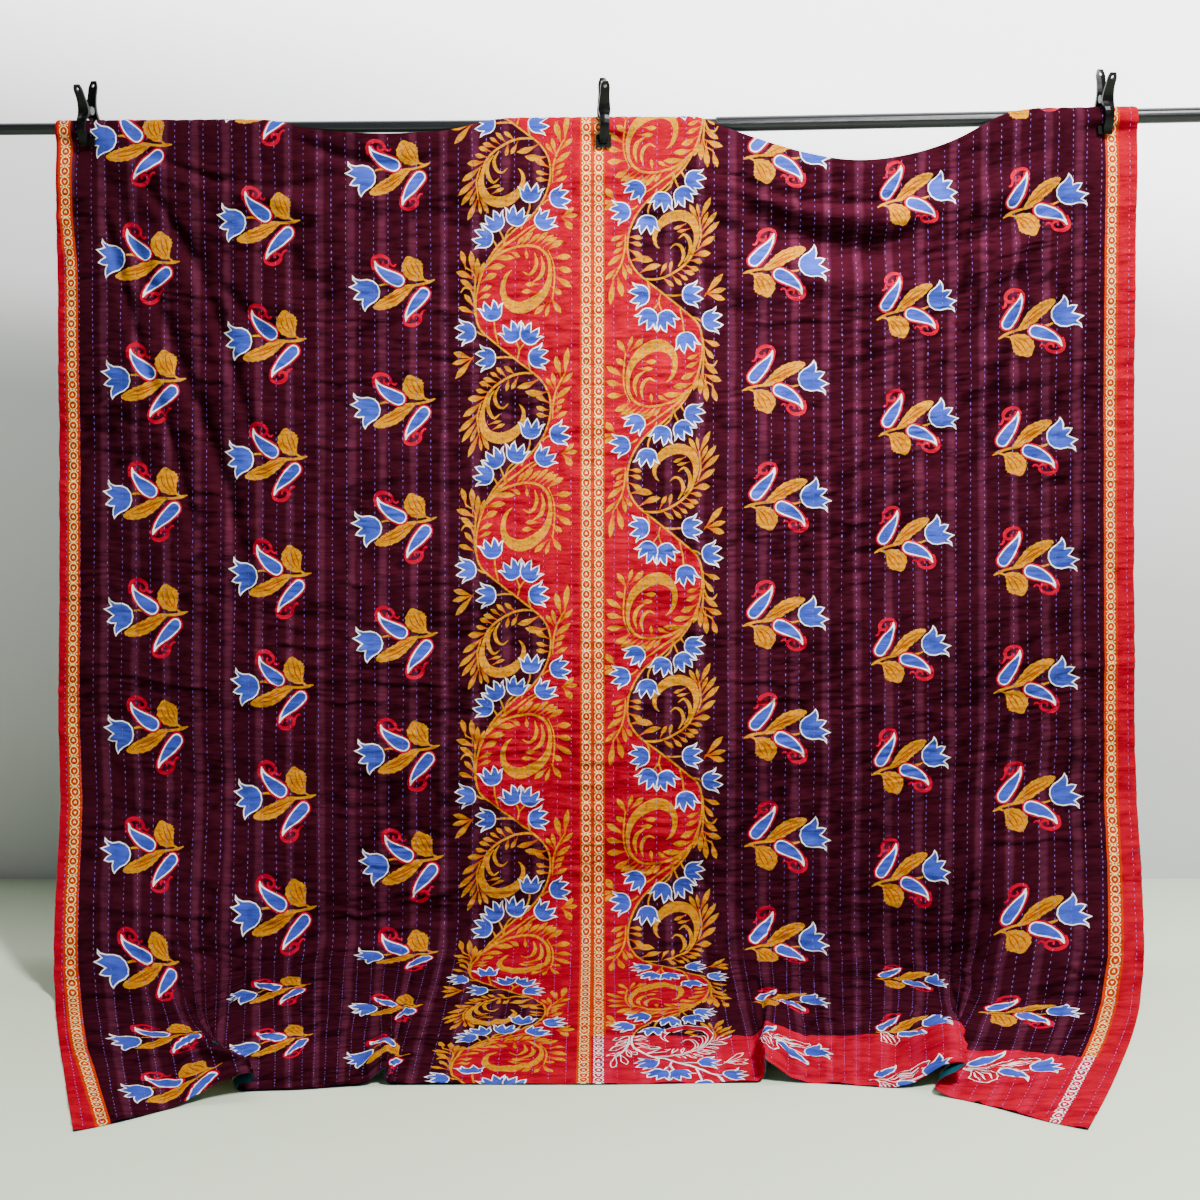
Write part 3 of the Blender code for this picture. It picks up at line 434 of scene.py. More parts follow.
class Cloth:
    """The draped quilt: where a point of it, given across and down, lies in space."""

    def __init__(self):
        self.u = np.linspace(-CLOTH_HALF_WIDTH, CLOTH_HALF_WIDTH, TABLE_COLUMNS)
        drape = Drape(self.u)
        across, down = np.meshgrid(self.u, TABLE_TOP + TABLE_STEP_DOWN * np.arange(TABLE_ROWS))
        self.middle = drape.points(down)
        self.normal = surface_normals(self.middle)
        pulls = self.pulled(across, down)
        relief = pulls + drape.creased(down) - drape.pinched(down) + wave(across, down, BROAD_WAVE)
        # The slopes of the larger relief towards the key light, kept for the painted shade in the cloth's
        # colour.
        slope_down, slope_across = np.gradient(relief, TABLE_STEP_DOWN, TABLE_STEP_ACROSS)
        self.pulls = pulls[..., None]
        self.facing = (PAINTED_SHADE_UP * slope_down - PAINTED_SHADE_SIDE * slope_across)[..., None]
        self.tops, self.bottoms, self.lands = -drape.wrap, drape.bottom, drape.lands

    def top(self, u):
        return np.interp(u, self.u, self.tops)

    def bottom(self, u):
        return np.interp(u, self.u, self.bottoms)

    def between(self, table, u, s):
        a = np.clip((u + CLOTH_HALF_WIDTH) / TABLE_STEP_ACROSS, 0, TABLE_COLUMNS - 1.0001)
        b = np.clip((s - TABLE_TOP) / TABLE_STEP_DOWN, 0, TABLE_ROWS - 1.0001)
        i, j = a.astype(int), b.astype(int)
        fa, fb = (a - i)[:, None], (b - j)[:, None]
        low = table[j, i] * (1 - fa) + table[j, i + 1] * fa
        high = table[j + 1, i] * (1 - fa) + table[j + 1, i + 1] * fa
        return low * (1 - fb) + high * fb

    def nipped(self, u, s, side):
        """The sharp creases, each with a soft lip above it on the face and a wider hollow on the back."""
        height = np.zeros(np.shape(u))
        for across0, down0, across1, down1 in NIPS:
            t = (u - across0) / (across1 - across0)
            line = down0 + (down1 - down0) * t + NIP_WANDER * np.sin(14.0 * t + 40.0 * down0)
            ends = smooth_step(t / NIP_END) * smooth_step((1 - t) / NIP_END)
            if side < 0:
                height -= BACK_NIP_DEPTH * smooth_step(ends * 3) * bell((s - line) / BACK_NIP_HALF_WIDTH)
                continue
            height -= NIP_DEPTH * ends * bell((s - line) / NIP_HALF_WIDTH)
            height += LIP_HEIGHT * ends * bell((s - line + LIP_ABOVE) / LIP_HALF_WIDTH)
        return height

    def pulled(self, u, s):
        """The long soft valleys."""
        height = np.zeros(np.shape(u))
        for depth, half_width, line in PULLS:
            line = spline(line, 4)
            nearest = np.full(np.shape(u), np.inf)
            along = np.zeros(np.shape(u))
            for k in range(len(line) - 1):
                a, b = line[k], line[k + 1]
                way = b - a
                t = np.clip(((u - a[0]) * way[0] + (s - a[1]) * way[1]) / (way @ way), 0.0, 1.0)
                away = np.hypot(u - a[0] - t * way[0], s - a[1] - t * way[1])
                closer = away < nearest
                nearest = np.where(closer, away, nearest)
                along = np.where(closer, (k + t) / (len(line) - 1), along)
            ends = smooth_step(along / 0.2) * smooth_step((1 - along) / 0.3)
            height -= depth * ends * bell(nearest / half_width)
        return height

    def ripple(self, u, s, side=1):
        """How far the puckers and the softer waves of the cloth stand out from its drape."""
        sagging = np.clip(1.0 - ((u - SAG_MIDDLE) / SAG_HALF_WIDTH) ** 2, 0.0, 1.0)
        d = s - np.interp(u, *DIP_AT) - SAG_DIP * sagging * np.exp(-np.clip(s, 0.0, None) / SAG_FADE)
        fine = np.zeros(np.shape(u))
        for slant, wide, high, seed, height in PUCKERS:
            fine += (np.abs(noise(u + slant * s, d, wide, high, seed)) - PUCKER_MEAN) * height
        fine *= 0.85 + wave(u, d, PATCHY)
        sunk = SUNK_DEPTH * smooth_step(0.55 + wave(u, d, SUNK_WHERE))
        fine -= sunk * bell(wave(u + SUNK_SLANT * s, d, SUNK_LINE))
        soft = wave(u, d, LOW_WAVE) + wave(u, s, BROAD_WAVE)
        soft += wave(u, s, LONG_WAVE) + self.between(self.pulls, u, s)[:, 0]
        calm = smooth_step((s - CALM_FROM) / CALM_EASE)
        for clamp in CLAMPS:
            near = ((u - clamp.across) / CALM_ACROSS) ** 2 + ((s - CALM_FROM) / CALM_DOWN) ** 2
            calm = calm * (1.0 - np.exp(-near))
        fine = np.maximum(fine * (CALM_PUCKERS + (1.0 - CALM_PUCKERS) * calm), -DEEPEST_PUCKER)
        return fine, self.nipped(u, s, side), soft * calm

    def puff(self, u):
        """The channel sewn in along every row of stitches and at the centre seam."""
        from_row = (np.abs(u) / ROW_PITCH) % 1.0 - 0.5
        groove = bell(from_row * ROW_PITCH / GROOVE_HALF_WIDTH) * GROOVE_DEPTH
        return groove + bell(u / SEAM_HALF_WIDTH) * SEAM_DEPTH

    def edge(self, u, s):
        """0 at the quilt's edge, 1 from a few millimetres in."""
        inside = np.minimum(CLOTH_HALF_WIDTH - np.abs(u), np.minimum(s - self.top(u), self.bottom(u) - s))
        return np.sqrt(np.clip(inside / EDGE_ROUNDING, 0.0, 1.0))

    def place(self, u, s, side):
        """Points of the printed face for side 1, of the back for side -1."""
        u, s = np.asarray(u, float), np.asarray(s, float)
        middle = self.between(self.middle, u, s)
        normal = self.between(self.normal, u, s)
        normal /= np.linalg.norm(normal, axis=-1, keepdims=True)
        full, groove = self.edge(u, s), self.puff(u)
        if side > 0:
            offset = (FACE_THICKNESS + FACE_RISES) * full - groove * full
        else:
            offset = -BACK_THICKNESS * full
        fine, nips, soft = self.ripple(u, s, side)
        if side < 0:
            slack = BACK_SLACK + BACK_PULL_SLACK * np.abs(self.between(self.pulls, u, s)[:, 0])
            fine = fine * (1 - BACK_SMOOTHER * full) - slack * full
            nips = nips * full
        lift = fine + nips + soft
        raised = np.abs(lift) if side > 0 else np.maximum(np.abs(soft) - BACK_LIES_SLACK, 0.0)
        raised = raised * LYING_RELIEF
        lies = smooth_step((s - np.interp(u, self.u, self.lands) + LYING_FROM) / LYING_FROM)
        lies = lies * (1.0 - smooth_step((middle[:, 2] + ROD_HEIGHT - BACK_THICKNESS) / OFF_FLOOR))
        lift = lift * (1 - lies) + raised * lies
        made = middle + normal * (offset + lift)[:, None]
        if side > 0:
            made[:, 2] = np.maximum(made[:, 2], -ROD_HEIGHT + BACK_THICKNESS + offset)
            return made
        fall = np.maximum(middle[:, 2] - made[:, 2], 1e-9)
        share = np.clip((middle[:, 2] + ROD_HEIGHT) / fall, 0.0, 1.0)
        return middle + (made - middle) * share[:, None]


CLOTH = Cloth()


# ---------------------------------------------------------------- drawing the print
Shape = namedtuple("Shape", "outline ink tone")


def sides(line, half):
    """The outline round a line with a half width at each of its points."""
    way = np.gradient(line, axis=0)
    way /= np.maximum(np.linalg.norm(way, axis=1, keepdims=True), 1e-9)
    out = np.stack([way[:, 1], -way[:, 0]], axis=1) * np.asarray(half)[:, None]
    return np.vstack([line + out, (line - out)[::-1]])


def stroke(points, ink, pieces=4, round_end=False, tone=None):
    """A brush stroke through rows of x, y and width."""
    line = spline(points, pieces)
    outline = sides(line[:, :2], np.maximum(line[:, 2], 0.25) / 2)
    if round_end:
        end, before = line[-1], line[-2]
        start = math.atan2(end[1] - before[1], end[0] - before[0])
        turns = start + np.linspace(-math.pi / 2, math.pi / 2, 8)[1:-1]
        cap = end[:2] + end[2] / 2 * np.stack([np.cos(turns), np.sin(turns)], axis=1)
        n = len(line)
        outline = np.vstack([outline[:n], cap, outline[n:]])
    return Shape(outline, ink, tone)


LEAF_AT = np.array([0.0, 0.16, 0.34, 0.50, 0.64, 0.78, 0.90, 1.0])
LEAF_HALF = np.array([0.14, 0.20, 0.42, 0.78, 1.0, 0.92, 0.52, 0.02])
LEAF_STALK = 0.18
LEAF_SLIMMER = 0.86


def leaf(x0, y0, x1, y1, width, bend=0.0, ink="yellow"):
    """A leaf from its stalk to its tip, its middle moved sideways by bend."""
    start, end = np.array([x0, y0], float), np.array([x1, y1], float)
    start = start - LEAF_STALK * (end - start)
    way = (end - start) / np.linalg.norm(end - start)
    middle = (start + end) / 2 + bend * np.array([-way[1], way[0]])
    t = LEAF_AT[:, None]
    line = (1 - t) ** 2 * start + 2 * t * (1 - t) * middle + t * t * end
    return Shape(sides(line, LEAF_HALF * width * LEAF_SLIMMER / 2), ink, (start, end))


TULIP_HALF = (
    (0.0, 0.0), (3.8, 0.4), (7.4, 2.4), (9.8, 5.6), (10.8, 9.4), (11.6, 12.4), (14.4, 16.6), (10.6, 15.6),
    (8.0, 13.2), (7.6, 17.2), (4.9, 21.8), (2.4, 18.0),
)
TULIP_NOTCH = (0.0, 13.6)
TULIP_LINE = 1.05


def inset(outline, by):
    """The outline moved inwards by a set distance."""
    p = np.asarray(outline, float)
    before, after = np.roll(p, 1, axis=0), np.roll(p, -1, axis=0)
    a, b = p - before, after - p
    a /= np.linalg.norm(a, axis=1, keepdims=True)
    b /= np.linalg.norm(b, axis=1, keepdims=True)
    area = np.sum(p[:, 0] * np.roll(p[:, 1], -1) - np.roll(p[:, 0], -1) * p[:, 1])
    turn = 1.0 if area > 0 else -1.0
    inner_a = turn * np.stack([-a[:, 1], a[:, 0]], axis=1)
    inner_b = turn * np.stack([-b[:, 1], b[:, 0]], axis=1)
    both = inner_a + inner_b
    scale = 2.0 / np.maximum(np.sum(both * both, axis=1), 0.36)
    return p + both * scale[:, None] * by


def tulip(x, y, turn_deg, size=1.0, lean=0.0):
    """A four-petalled tulip from its base, its petals pointing up when turned by 0 degrees."""
    half = np.array(TULIP_HALF)
    whole = np.vstack([half, [TULIP_NOTCH], half[:0:-1] * (-1, 1)])
    whole[:, 0] += lean * whole[:, 1]
    inner = inset(whole, TULIP_LINE)
    turn = math.radians(turn_deg)
    axes = np.array([[math.cos(turn), math.sin(turn)], [math.sin(turn), -math.cos(turn)]])
    made = []
    for outline, ink in ((whole, "white"), (inner, "blue")):
        made.append(Shape(outline * size @ axes + (x, y), ink, None))
    return made


# Rows of x, y, x, y, width and bend, from stalk to tip.
DARK_BAY_LEAVES = (
    (59, 145, 49, 137, 5.0, 0.5), (50, 147, 41, 138, 5.0, 0.5), (44, 149, 35, 143, 4.5, 0.5),
    (40, 153, 28, 149, 6.0, 1.0), (35, 157, 24, 153, 6.0, 1.0), (32, 162, 20.5, 160, 5.5, -1.5),
    (29, 167, 12.5, 169, 7.5, -1.5), (25, 173, 7.5, 187, 7.0, -1.0), (22, 184, 3.5, 202, 6.5, -0.5),
    (21, 192, 6.5, 212, 6.0, 0.0), (22, 196, 15, 212, 4.5, 0.0), (22.5, 205, 12.5, 227, 6.0, -0.5),
    (24, 206, 26, 221, 3.8, 0.0), (25.5, 205, 33.5, 220, 5.5, -0.5), (34.5, 194.5, 46, 191.5, 3.6, -0.8),
    (38.5, 199.5, 49.5, 194.5, 4.4, -1.0), (53, 150, 51, 162, 4.5, -0.8), (62, 149, 56, 160, 5.0, -0.8),
    (82, 150, 62, 158, 7.0, -3.5), (91, 161.5, 70, 162, 8.0, -4.5), (93, 172, 80, 163.5, 7.0, -2.2),
    (93, 180, 81, 177, 5.6, -1.8), (93, 186, 81, 184.5, 5.6, -1.5),
)
DARK_BAY_STROKES = (
    ((79, 144.5, 1.8), (68, 144, 2.3), (57, 146.5, 2.3), (46.5, 152, 2.3), (38.5, 158, 2.3), (32, 166, 2.6),
     (28.5, 176, 3.4), (26.5, 187, 5.6), (27.5, 195.5, 7.6), (32, 204, 9.6), (40, 208, 10.8),
     (48.5, 208, 11), (57, 204.5, 10.5), (64.3, 197.5, 7.6), (68, 189.5, 4.8), (68.3, 182, 3.6),
     (66, 177, 2.2), (63.5, 174.5, 0.6)),
    ((44.6, 156.5, 1.0), (40.5, 163, 2.4), (39.5, 169.5, 3.6), (42.5, 176.5, 3.2), (48, 178.5, 2.0),
     (53, 174, 0.6)),
    ((39, 161, 1.0), (34.2, 168, 2.6), (32.4, 176, 3.8), (34.5, 184, 3.8), (39, 188.5, 2.6),
     (44.5, 184.5, 0.6)),
    ((25.5, 174, 1.2), (22, 186, 1.7), (22.5, 196, 1.7), (23.5, 206, 1.0)),
)
WAVE_BRANCH_LEAVES = (
    (18, 85, 3, 79, 6.0, 1.5), (18, 78, 9, 66, 5.6, 1.0), (19, 62, 5, 51.5, 6.5, 1.5),
    (18, 51, 1, 43.5, 7.5, 1.5), (10, 38.5, 6, 22, 6.5, 1.0), (17, 45, 16, 22, 7.0, 0.8),
    (21, 52, 22.5, 29.5, 6.8, 0.5), (24, 50, 29.5, 33.5, 5.0, -0.6),
)
WAVE_BRANCH_STROKES = (
    ((20, 87, 1.4), (19, 74, 1.8), (19.5, 62, 1.8), (20, 50, 1.4), (17.5, 42, 1.0)),
    ((19, 71, 1.0), (15.5, 61.5, 2.2), (9.5, 59.5, 2.2), (5.5, 64.5, 1.0)),
    ((17, 43, 1.2), (12, 40, 1.4), (9.5, 37, 1.0)),
)
SPRIG_LEAVES = (
    (15, 129, -2, 123.5, 7.0, 0.5), (15, 129.5, -3, 134.5, 6.0, -0.5), (16, 130, 0, 149, 7.0, -1.0),
    (108, 223, 119, 214, 5.5, 0.5), (108.5, 224, 123, 222, 5.5, 0.0), (108.5, 226, 117, 237, 8.0, -0.8),
)
RED_BRANCH_LEAVES = (
    (98, 189, 112.5, 182, 5.4, 0.5), (98, 183, 107, 176, 4.6, 0.5), (98, 176, 110, 169.5, 4.8, 0.5),
    (97, 171, 115.5, 157.5, 6.5, 0.8), (105, 156, 118, 143.5, 5.4, 0.5), (110, 146, 113, 119, 6.8, -0.8),
    (106, 148, 100.5, 127, 7.4, -0.8), (101, 160, 97, 143.5, 5.2, -0.5), (98, 159, 91, 149, 5.2, -0.5),
)
RED_BRANCH_STROKES = (
    ((97.5, 189, 1.2), (98, 176, 1.8), (100.5, 163, 1.8), (105, 153, 1.8), (110, 144, 1.0)),
)
RED_BAY_LEAVES = (
    (61, 18, 69.5, 7, 4.6, -0.6), (66, 17, 78, 3, 5.0, -0.8), (73, 15.5, 85.5, 5, 5.0, -1.0),
    (80, 15.5, 93.5, 3, 5.0, -1.0), (85.5, 16.5, 99, 6, 5.0, -1.0), (90, 18, 102.5, 8.5, 5.4, -1.2),
    (94, 22, 108.5, 12.5, 7.4, -2.5), (99, 30, 116, 28.5, 7.6, -0.8), (100, 40, 117, 43.5, 7.6, -0.5),
    (99.5, 48, 117, 59.5, 7.2, 0.8), (97, 59, 107, 66.5, 6.6, 0.8), (97, 71, 106, 85, 6.6, 0.8),
    (95, 75, 90.5, 89, 4.8, 0.4), (91.5, 75.5, 79.5, 86.5, 6.4, 0.6), (37, 32, 60, 29.5, 7.0, -3.0),
    (55, 24, 65, 29, 5.2, -2.0), (71, 20.5, 72, 31, 4.2, 0.0), (31, 42, 50, 38, 7.6, -3.0),
    (27.5, 54, 42, 46, 7.6, -2.5), (24, 65, 37, 58, 5.6, -2.0), (23.5, 72, 36, 66.5, 4.8, -2.0),
    (83.5, 57, 70, 57, 5.4, 1.2), (79, 64.5, 66.5, 64, 5.8, 1.6),
)
RED_BAY_STROKES = (
    ((31, 38, 1.6), (43, 26, 3.4), (56, 20, 2.4), (71.5, 17, 2.4), (84, 19.5, 2.6), (92.5, 28, 3.0),
     (95, 39, 3.6), (94.5, 51, 5.0), (90.5, 62.5, 7.4), (82.5, 71.5, 10), (72, 78, 11.8),
     (62.5, 79.5, 11.8), (54.5, 76, 9.8), (49.5, 70, 6.8), (47.6, 62, 5.4), (48.8, 53.5, 4.4),
     (52, 46.5, 3.0), (57, 42, 0.6)),
    ((31, 38, 1.0), (41, 24.5, 2.4), (52, 15, 2.8), (62, 8, 2.2), (72, 0, 1.6), (80, -4.5, 1.2)),
    ((79.5, 24, 0.8), (81.6, 34, 3.4), (79, 42.5, 3.6), (73.5, 46.5, 2.6), (67.5, 43.5, 0.8)),
    ((86, 27.5, 0.8), (88.4, 38.5, 3.8), (85.5, 48.5, 4.0), (77.5, 54.5, 0.8)),
    ((97.5, 72, 1.2), (99, 58, 1.6), (99.5, 46, 1.6), (98, 34, 1.2), (93, 22, 1.0)),
)
# Rows of x, y and turn for a tulip's base, then how far its petals lean.
SCROLL_TULIPS = (
    (41, 128.7, -92, 0.0), (21, 102.6, -97, 0.06), (74.8, 209.5, 4, 0.04), (58.5, 233, 18, -0.05),
    (44.5, 237.5, -32, 0.05), (38.3, 11.8, -76, 0.05), (39, 92.5, -12, -0.05), (61, 113, -28, 0.05),
    (69.5, 114.5, 34, -0.05), (73.2, 130, 82, 0.0),
)
SEAM_TULIPS = ((94.5, 206.5, 77, 0.03), (82, 234, 48, 0.03))
SCROLL_STEMS = (
    ((41, 128.7, 1.7), (50, 128, 1.9), (59, 128.8, 1.5)),
    ((21.5, 102.8, 1.6), (26, 105.5, 1.8), (31, 107, 1.5)),
    ((74.8, 209, 1.6), (74, 217, 1.8), (66, 236, 1.5)),
    ((58.5, 233, 1.6), (52, 240, 1.8), (49.5, 252, 1.5)),
    ((44.5, 237, 1.6), (48, 245, 1.8), (49.5, 252, 1.5)), ((38.3, 11.8, 1.6), (41, 16, 1.8), (42, 20, 1.5)),
    ((39, 92, 1.6), (40, 102, 1.8), (43, 115, 1.5)), ((61, 112.5, 1.6), (64, 121, 1.8), (62.5, 130, 1.5)),
    ((69.5, 114.5, 1.4), (66, 119, 1.6), (64, 122, 1.2)),
    ((73.5, 130, 1.6), (73.6, 135, 1.8), (75.5, 141, 1.5)),
)
SEAM_STEMS = (
    ((94.5, 206.5, 1.6), (91, 208, 1.8), (87, 211.5, 1.5)),
    ((82, 234, 1.6), (77, 237, 1.8), (70, 243, 1.5)),
)
SEAM_MOVED = {-1: (0, 0), 1: (-2, 8)}
WAVE = (
    (60.5, 0), (44, 16), (33.8, 30.5), (26.8, 46.5), (22.3, 61), (20.5, 76), (21.3, 90), (25.4, 101),
    (36, 111), (56, 127), (73.5, 140.5), (85.5, 150.5), (92.8, 162), (95.5, 174), (94.8, 187), (91.5, 199),
    (86, 210.5), (75, 224.5), (60.5, 236),
)


def scroll(moved):
    """One repeat of the scroll border, without its wave, its two tulips at the seam moved a little."""
    made = [leaf(*row) for row in DARK_BAY_LEAVES + WAVE_BRANCH_LEAVES + SPRIG_LEAVES]
    made += [leaf(*row) for row in RED_BRANCH_LEAVES + RED_BAY_LEAVES]
    for row in DARK_BAY_STROKES + RED_BAY_STROKES + WAVE_BRANCH_STROKES + RED_BRANCH_STROKES:
        made.append(stroke(row, "yellow", 3))
    made += [stroke(row, "yellow", 3) for row in SCROLL_STEMS]
    for x, y, turn, lean in SCROLL_TULIPS:
        made += tulip(x, y, turn, 0.98, lean)
    for x, y, turn, lean in SEAM_TULIPS:
        made += tulip(x + moved[0], y + moved[1], turn, 0.98, lean)
    made += [stroke(np.array(row) + (*moved, 0), "yellow", 3) for row in SEAM_STEMS]
    return made


# The flower sprig, from its middle, with its tulip to the left.
LONG_LEAF = (
    (22.5, -4.8, 2.6), (18, -2.6, 6.8), (11, 1.8, 11.5), (3, 8, 13), (-5, 11.8, 12.5), (-12, 14.6, 9.5),
    (-17, 15.8, 5.5), (-19, 15.4, 1.6),
)
ROUND_LEAF = (
    (32, -10.3, 2), (28, -13, 11), (23.8, -17.5, 19.5), (20.8, -22.5, 21.5), (18.6, -27.5, 17),
    (16.8, -33.5, 3),
)
LEAF_VEINS = (
    ((19, -2.5, 0.6), (8, 3.5, 1.6), (-4, 9.5, 0.5)), ((12, 3.5, 0.6), (2, 10.5, 1.5), (-9, 13.8, 0.5)),
    ((9, 0.5, 0.6), (-1, 6.5, 1.4), (-12, 12.5, 0.5)), ((29, -12, 0.6), (23, -19, 1.5), (19, -29, 0.5)),
    ((25, -12.6, 0.6), (17.5, -18, 1.4), (14.5, -25, 0.5)),
    ((29.5, -15, 0.6), (27.5, -21, 1.5), (23, -28.5, 0.5)),
)
UPPER_PAISLEY = (
    (-16.6, -30, 0.4), (-14.6, -24.5, 1.8), (-10.5, -20.0, 5.2), (-4.5, -15.6, 8.8), (1.5, -12.2, 10.6),
    (6.6, -9.8, 10.4),
)
UPPER_HOOK = (
    (-18, -21, 2.6), (-19, -27.5, 3.6), (-17, -32.5, 4.6), (-12, -34.8, 4.2), (-6, -33.6, 3.4),
    (-2, -30.2, 3.2), (-1.8, -26.6, 3.0), (-5.2, -24.8, 2.8), (-8.4, -26.8, 2.4), (-7.8, -29.6, 1.8),
)
UPPER_BARB = ((-1.8, -27.6, 1.8), (0.6, -25, 2.4), (3.2, -24.2, 2.2), (4.8, -26.2, 1.6))
LOWER_PAISLEY = (
    (13.3, 31, 0.4), (14.8, 25.5, 1.9), (18.6, 19.6, 5.3), (23.6, 13.6, 8.8), (28.6, 7.8, 10),
    (32, 3.8, 9.8),
)
LOWER_HOOK = (
    (11.5, 29, 2.6), (13.4, 33.4, 3.4), (18.5, 35.2, 3.6), (24, 34, 4.2), (28, 30.5, 4.2),
    (28.2, 26.4, 3.6), (24.6, 24.6, 3.0), (21, 26.4, 2.6), (21.8, 29.2, 1.8),
)
LOWER_BARB = ((28.6, 27, 2.2), (29.8, 23, 2.6), (32, 20.2, 2.4), (34.2, 20.8, 1.8))
SPRIG_TULIP = (
    (-39.5, -16.5), (-36.3, -12.8), (-31.5, -11.4), (-24.5, -12), (-18.3, -10.2), (-13.8, -6), (-11.8, 0.5),
    (-12.9, 6.5), (-16.6, 10.8), (-22, 13.8), (-25.4, 16.8), (-27.5, 20.5), (-29.7, 17), (-30.7, 12.5),
    (-30, 8.6), (-34, 9), (-39, 7.6), (-36.6, 4), (-33.4, 1), (-38, -1.5), (-43.5, -4.5), (-39, -6.2),
    (-36, -8), (-39.4, -11.5),
)
SPRIG_STEM = (
    (-12.4, -5.4, 1.8), (-5, -6.6, 2.2), (6, -5, 2.2), (15, -4, 2.4), (22.5, -4.6, 2.4), (32, -6, 2.4),
    (38, -7.8, 3.0), (43.5, -9.8, 1.0),
)
SPRIG_TWIG = ((31.5, -10.8, 1.8), (35, -9, 2.0), (38.5, -7.8, 1.6))


def toothed(points, ink, teeth):
    """A broad leaf with small teeth along its edge."""
    line = spline(points, 4)
    half = np.maximum(line[:, 2], 0.4) / 2
    outline = sides(line[:, :2], half)
    n = len(line)
    wave = 1.0 + teeth * np.where(np.arange(n) % 3 == 1, 1.0, -0.4)
    wave[0] = wave[-1] = 1.0
    centre = np.vstack([line[:, :2], line[::-1, :2]])
    outline = centre + (outline - centre) * np.concatenate([wave, wave[::-1]])[:, None]
    return Shape(outline, ink, None)


def sprig():
    """The flower sprig of the dark field."""
    made = [stroke(SPRIG_STEM, "yellow", 3), stroke(SPRIG_TWIG, "yellow", 2)]
    made += [toothed(LONG_LEAF, "yellow", 0.07), toothed(ROUND_LEAF, "yellow", 0.07)]
    made += [stroke(row, "orange", 3) for row in LEAF_VEINS]
    upper, lower = (UPPER_PAISLEY, UPPER_HOOK, UPPER_BARB), (LOWER_PAISLEY, LOWER_HOOK, LOWER_BARB)
    for body, hook, barb in (upper, lower):
        made += [stroke(hook, "crimson", 2), stroke(barb, "crimson", 2)]
        for wider, ink in ((6.4, "crimson"), (2.6, "white"), (0.0, "blue")):
            body_line = np.array(body, float)
            body_line[:, 2] += wider
            if ink == "white":
                body_line[0, 2] = 0.8
            if ink == "blue":
                body_line = body_line[1:]
                body_line[0, 2] = 0.8
            made.append(stroke(body_line, ink, 3, round_end=True))
    petals = np.array(SPRIG_TULIP, float)
    made += [Shape(petals, "white", None), Shape(inset(petals, 1.2), "blue", None)]
    return made


def chain_link(kind):
    """One link of the chain, from its middle: a ring round a small heart, and what joins it to the next."""
    made = []

    def disc(x, y, rx, ry, n, ink, start=0.0):
        t = start + 2 * math.pi * np.arange(n) / n
        made.append(Shape(np.stack([x + rx * np.cos(t), y + ry * np.sin(t)], axis=1), ink, None))

    disc(0, 5.1, 2.6, 2.4, 4, "cream")
    disc(0, 0, 4.5, 4.9, 14, "cream")
    disc(0, 0, 3.6, 4.0, 12, "ground")
    heart = np.array([(0, 2.7), (-1.7, 0.2), (-1.5, -1.6), (0, -0.9), (1.5, -1.6), (1.7, 0.2)])
    made.append(Shape(heart * (0.8, 0.8 if kind else -0.8), "cream", None))
    if kind:
        disc(0, 5.1, 1.15, 1.15, 4, "ground", math.pi / 4)
    for side in (-1, 1):
        disc(side * 3.9, 5.1, 0.85, 0.85, 5, "cream")
    return made


# Where the print lies on the cloth.
# Each column has its sprigs' width and height, then each sprig's place across and down and its tilt.
SPRIGS_LEFT = (
    (0.98, 1.05, ((-0.950, 0.034, 14), (-0.9375, 0.274, 12), (-0.9275, 0.517, 9), (-0.925, 0.757, 7),
     (-0.9225, 0.994, 6), (-0.9225, 1.231, 4), (-0.9325, 1.474, 2), (-0.9425, 1.705, 1), (-0.936, 1.970, 0),
     (-0.930, 2.185, 0),)),
    (0.97, 1.05, ((-0.690, -0.044, 8), (-0.6875, 0.199, 8), (-0.6775, 0.439, 8), (-0.675, 0.679, 7),
     (-0.6675, 0.916, 7), (-0.6625, 1.141, 8), (-0.6575, 1.366, 7), (-0.6575, 1.588, 5), (-0.660, 1.846, 3),
     (-0.655, 2.090, 2),)),
    (1.0, 1.0, ((-0.420, 0.100, -3), (-0.4125, 0.334, -1), (-0.4125, 0.574, 0), (-0.410, 0.814, 0),
     (-0.4075, 1.048, 0), (-0.4025, 1.276, 0), (-0.395, 1.498, 1), (-0.400, 1.695, 0), (-0.405, 1.970, 0),
     (-0.405, 2.200, 0),)),
)
SPRIGS_RIGHT = (
    (1.0, 0.97, ((0.393, 0.060, 4), (0.3925, 0.289, 2), (0.3925, 0.523, 0), (0.397, 0.760, 0),
     (0.3925, 1.000, 0), (0.395, 1.228, 1), (0.3975, 1.447, 0), (0.395, 1.657, 0), (0.393, 1.932, 0),
     (0.393, 2.172, 0),)),
    (0.94, 0.94, ((0.655, -0.088, -4), (0.655, 0.148, -7), (0.655, 0.373, -9), (0.660, 0.610, -8),
     (0.6525, 0.847, -8), (0.645, 1.072, -9), (0.645, 1.297, -8), (0.650, 1.519, -6), (0.652, 1.787, -3),
     (0.652, 2.057, 0), (0.650, 2.2625, 0),)),
    (1.0, 0.99, ((0.884, -0.074, -20), (0.915, 0.166, -12), (0.9075, 0.412, -11), (0.8975, 0.655, -6),
     (0.900, 0.898, -6), (0.900, 1.138, -6), (0.9075, 1.375, -5), (0.920, 1.624, -5), (0.925, 1.855, -2),
     (0.930, 2.100, 0),)),
)
SCROLL_LEFT_AT = (
    (-0.5, 0, 0.5, 1, 1.5, 2, 2.5, 3, 3.5, 4, 4.5, 5),
    (-0.150, 0.0875, 0.322, 0.565, 0.805, 1.045, 1.270, 1.492, 1.712, 1.960, 2.185, 2.42),
)
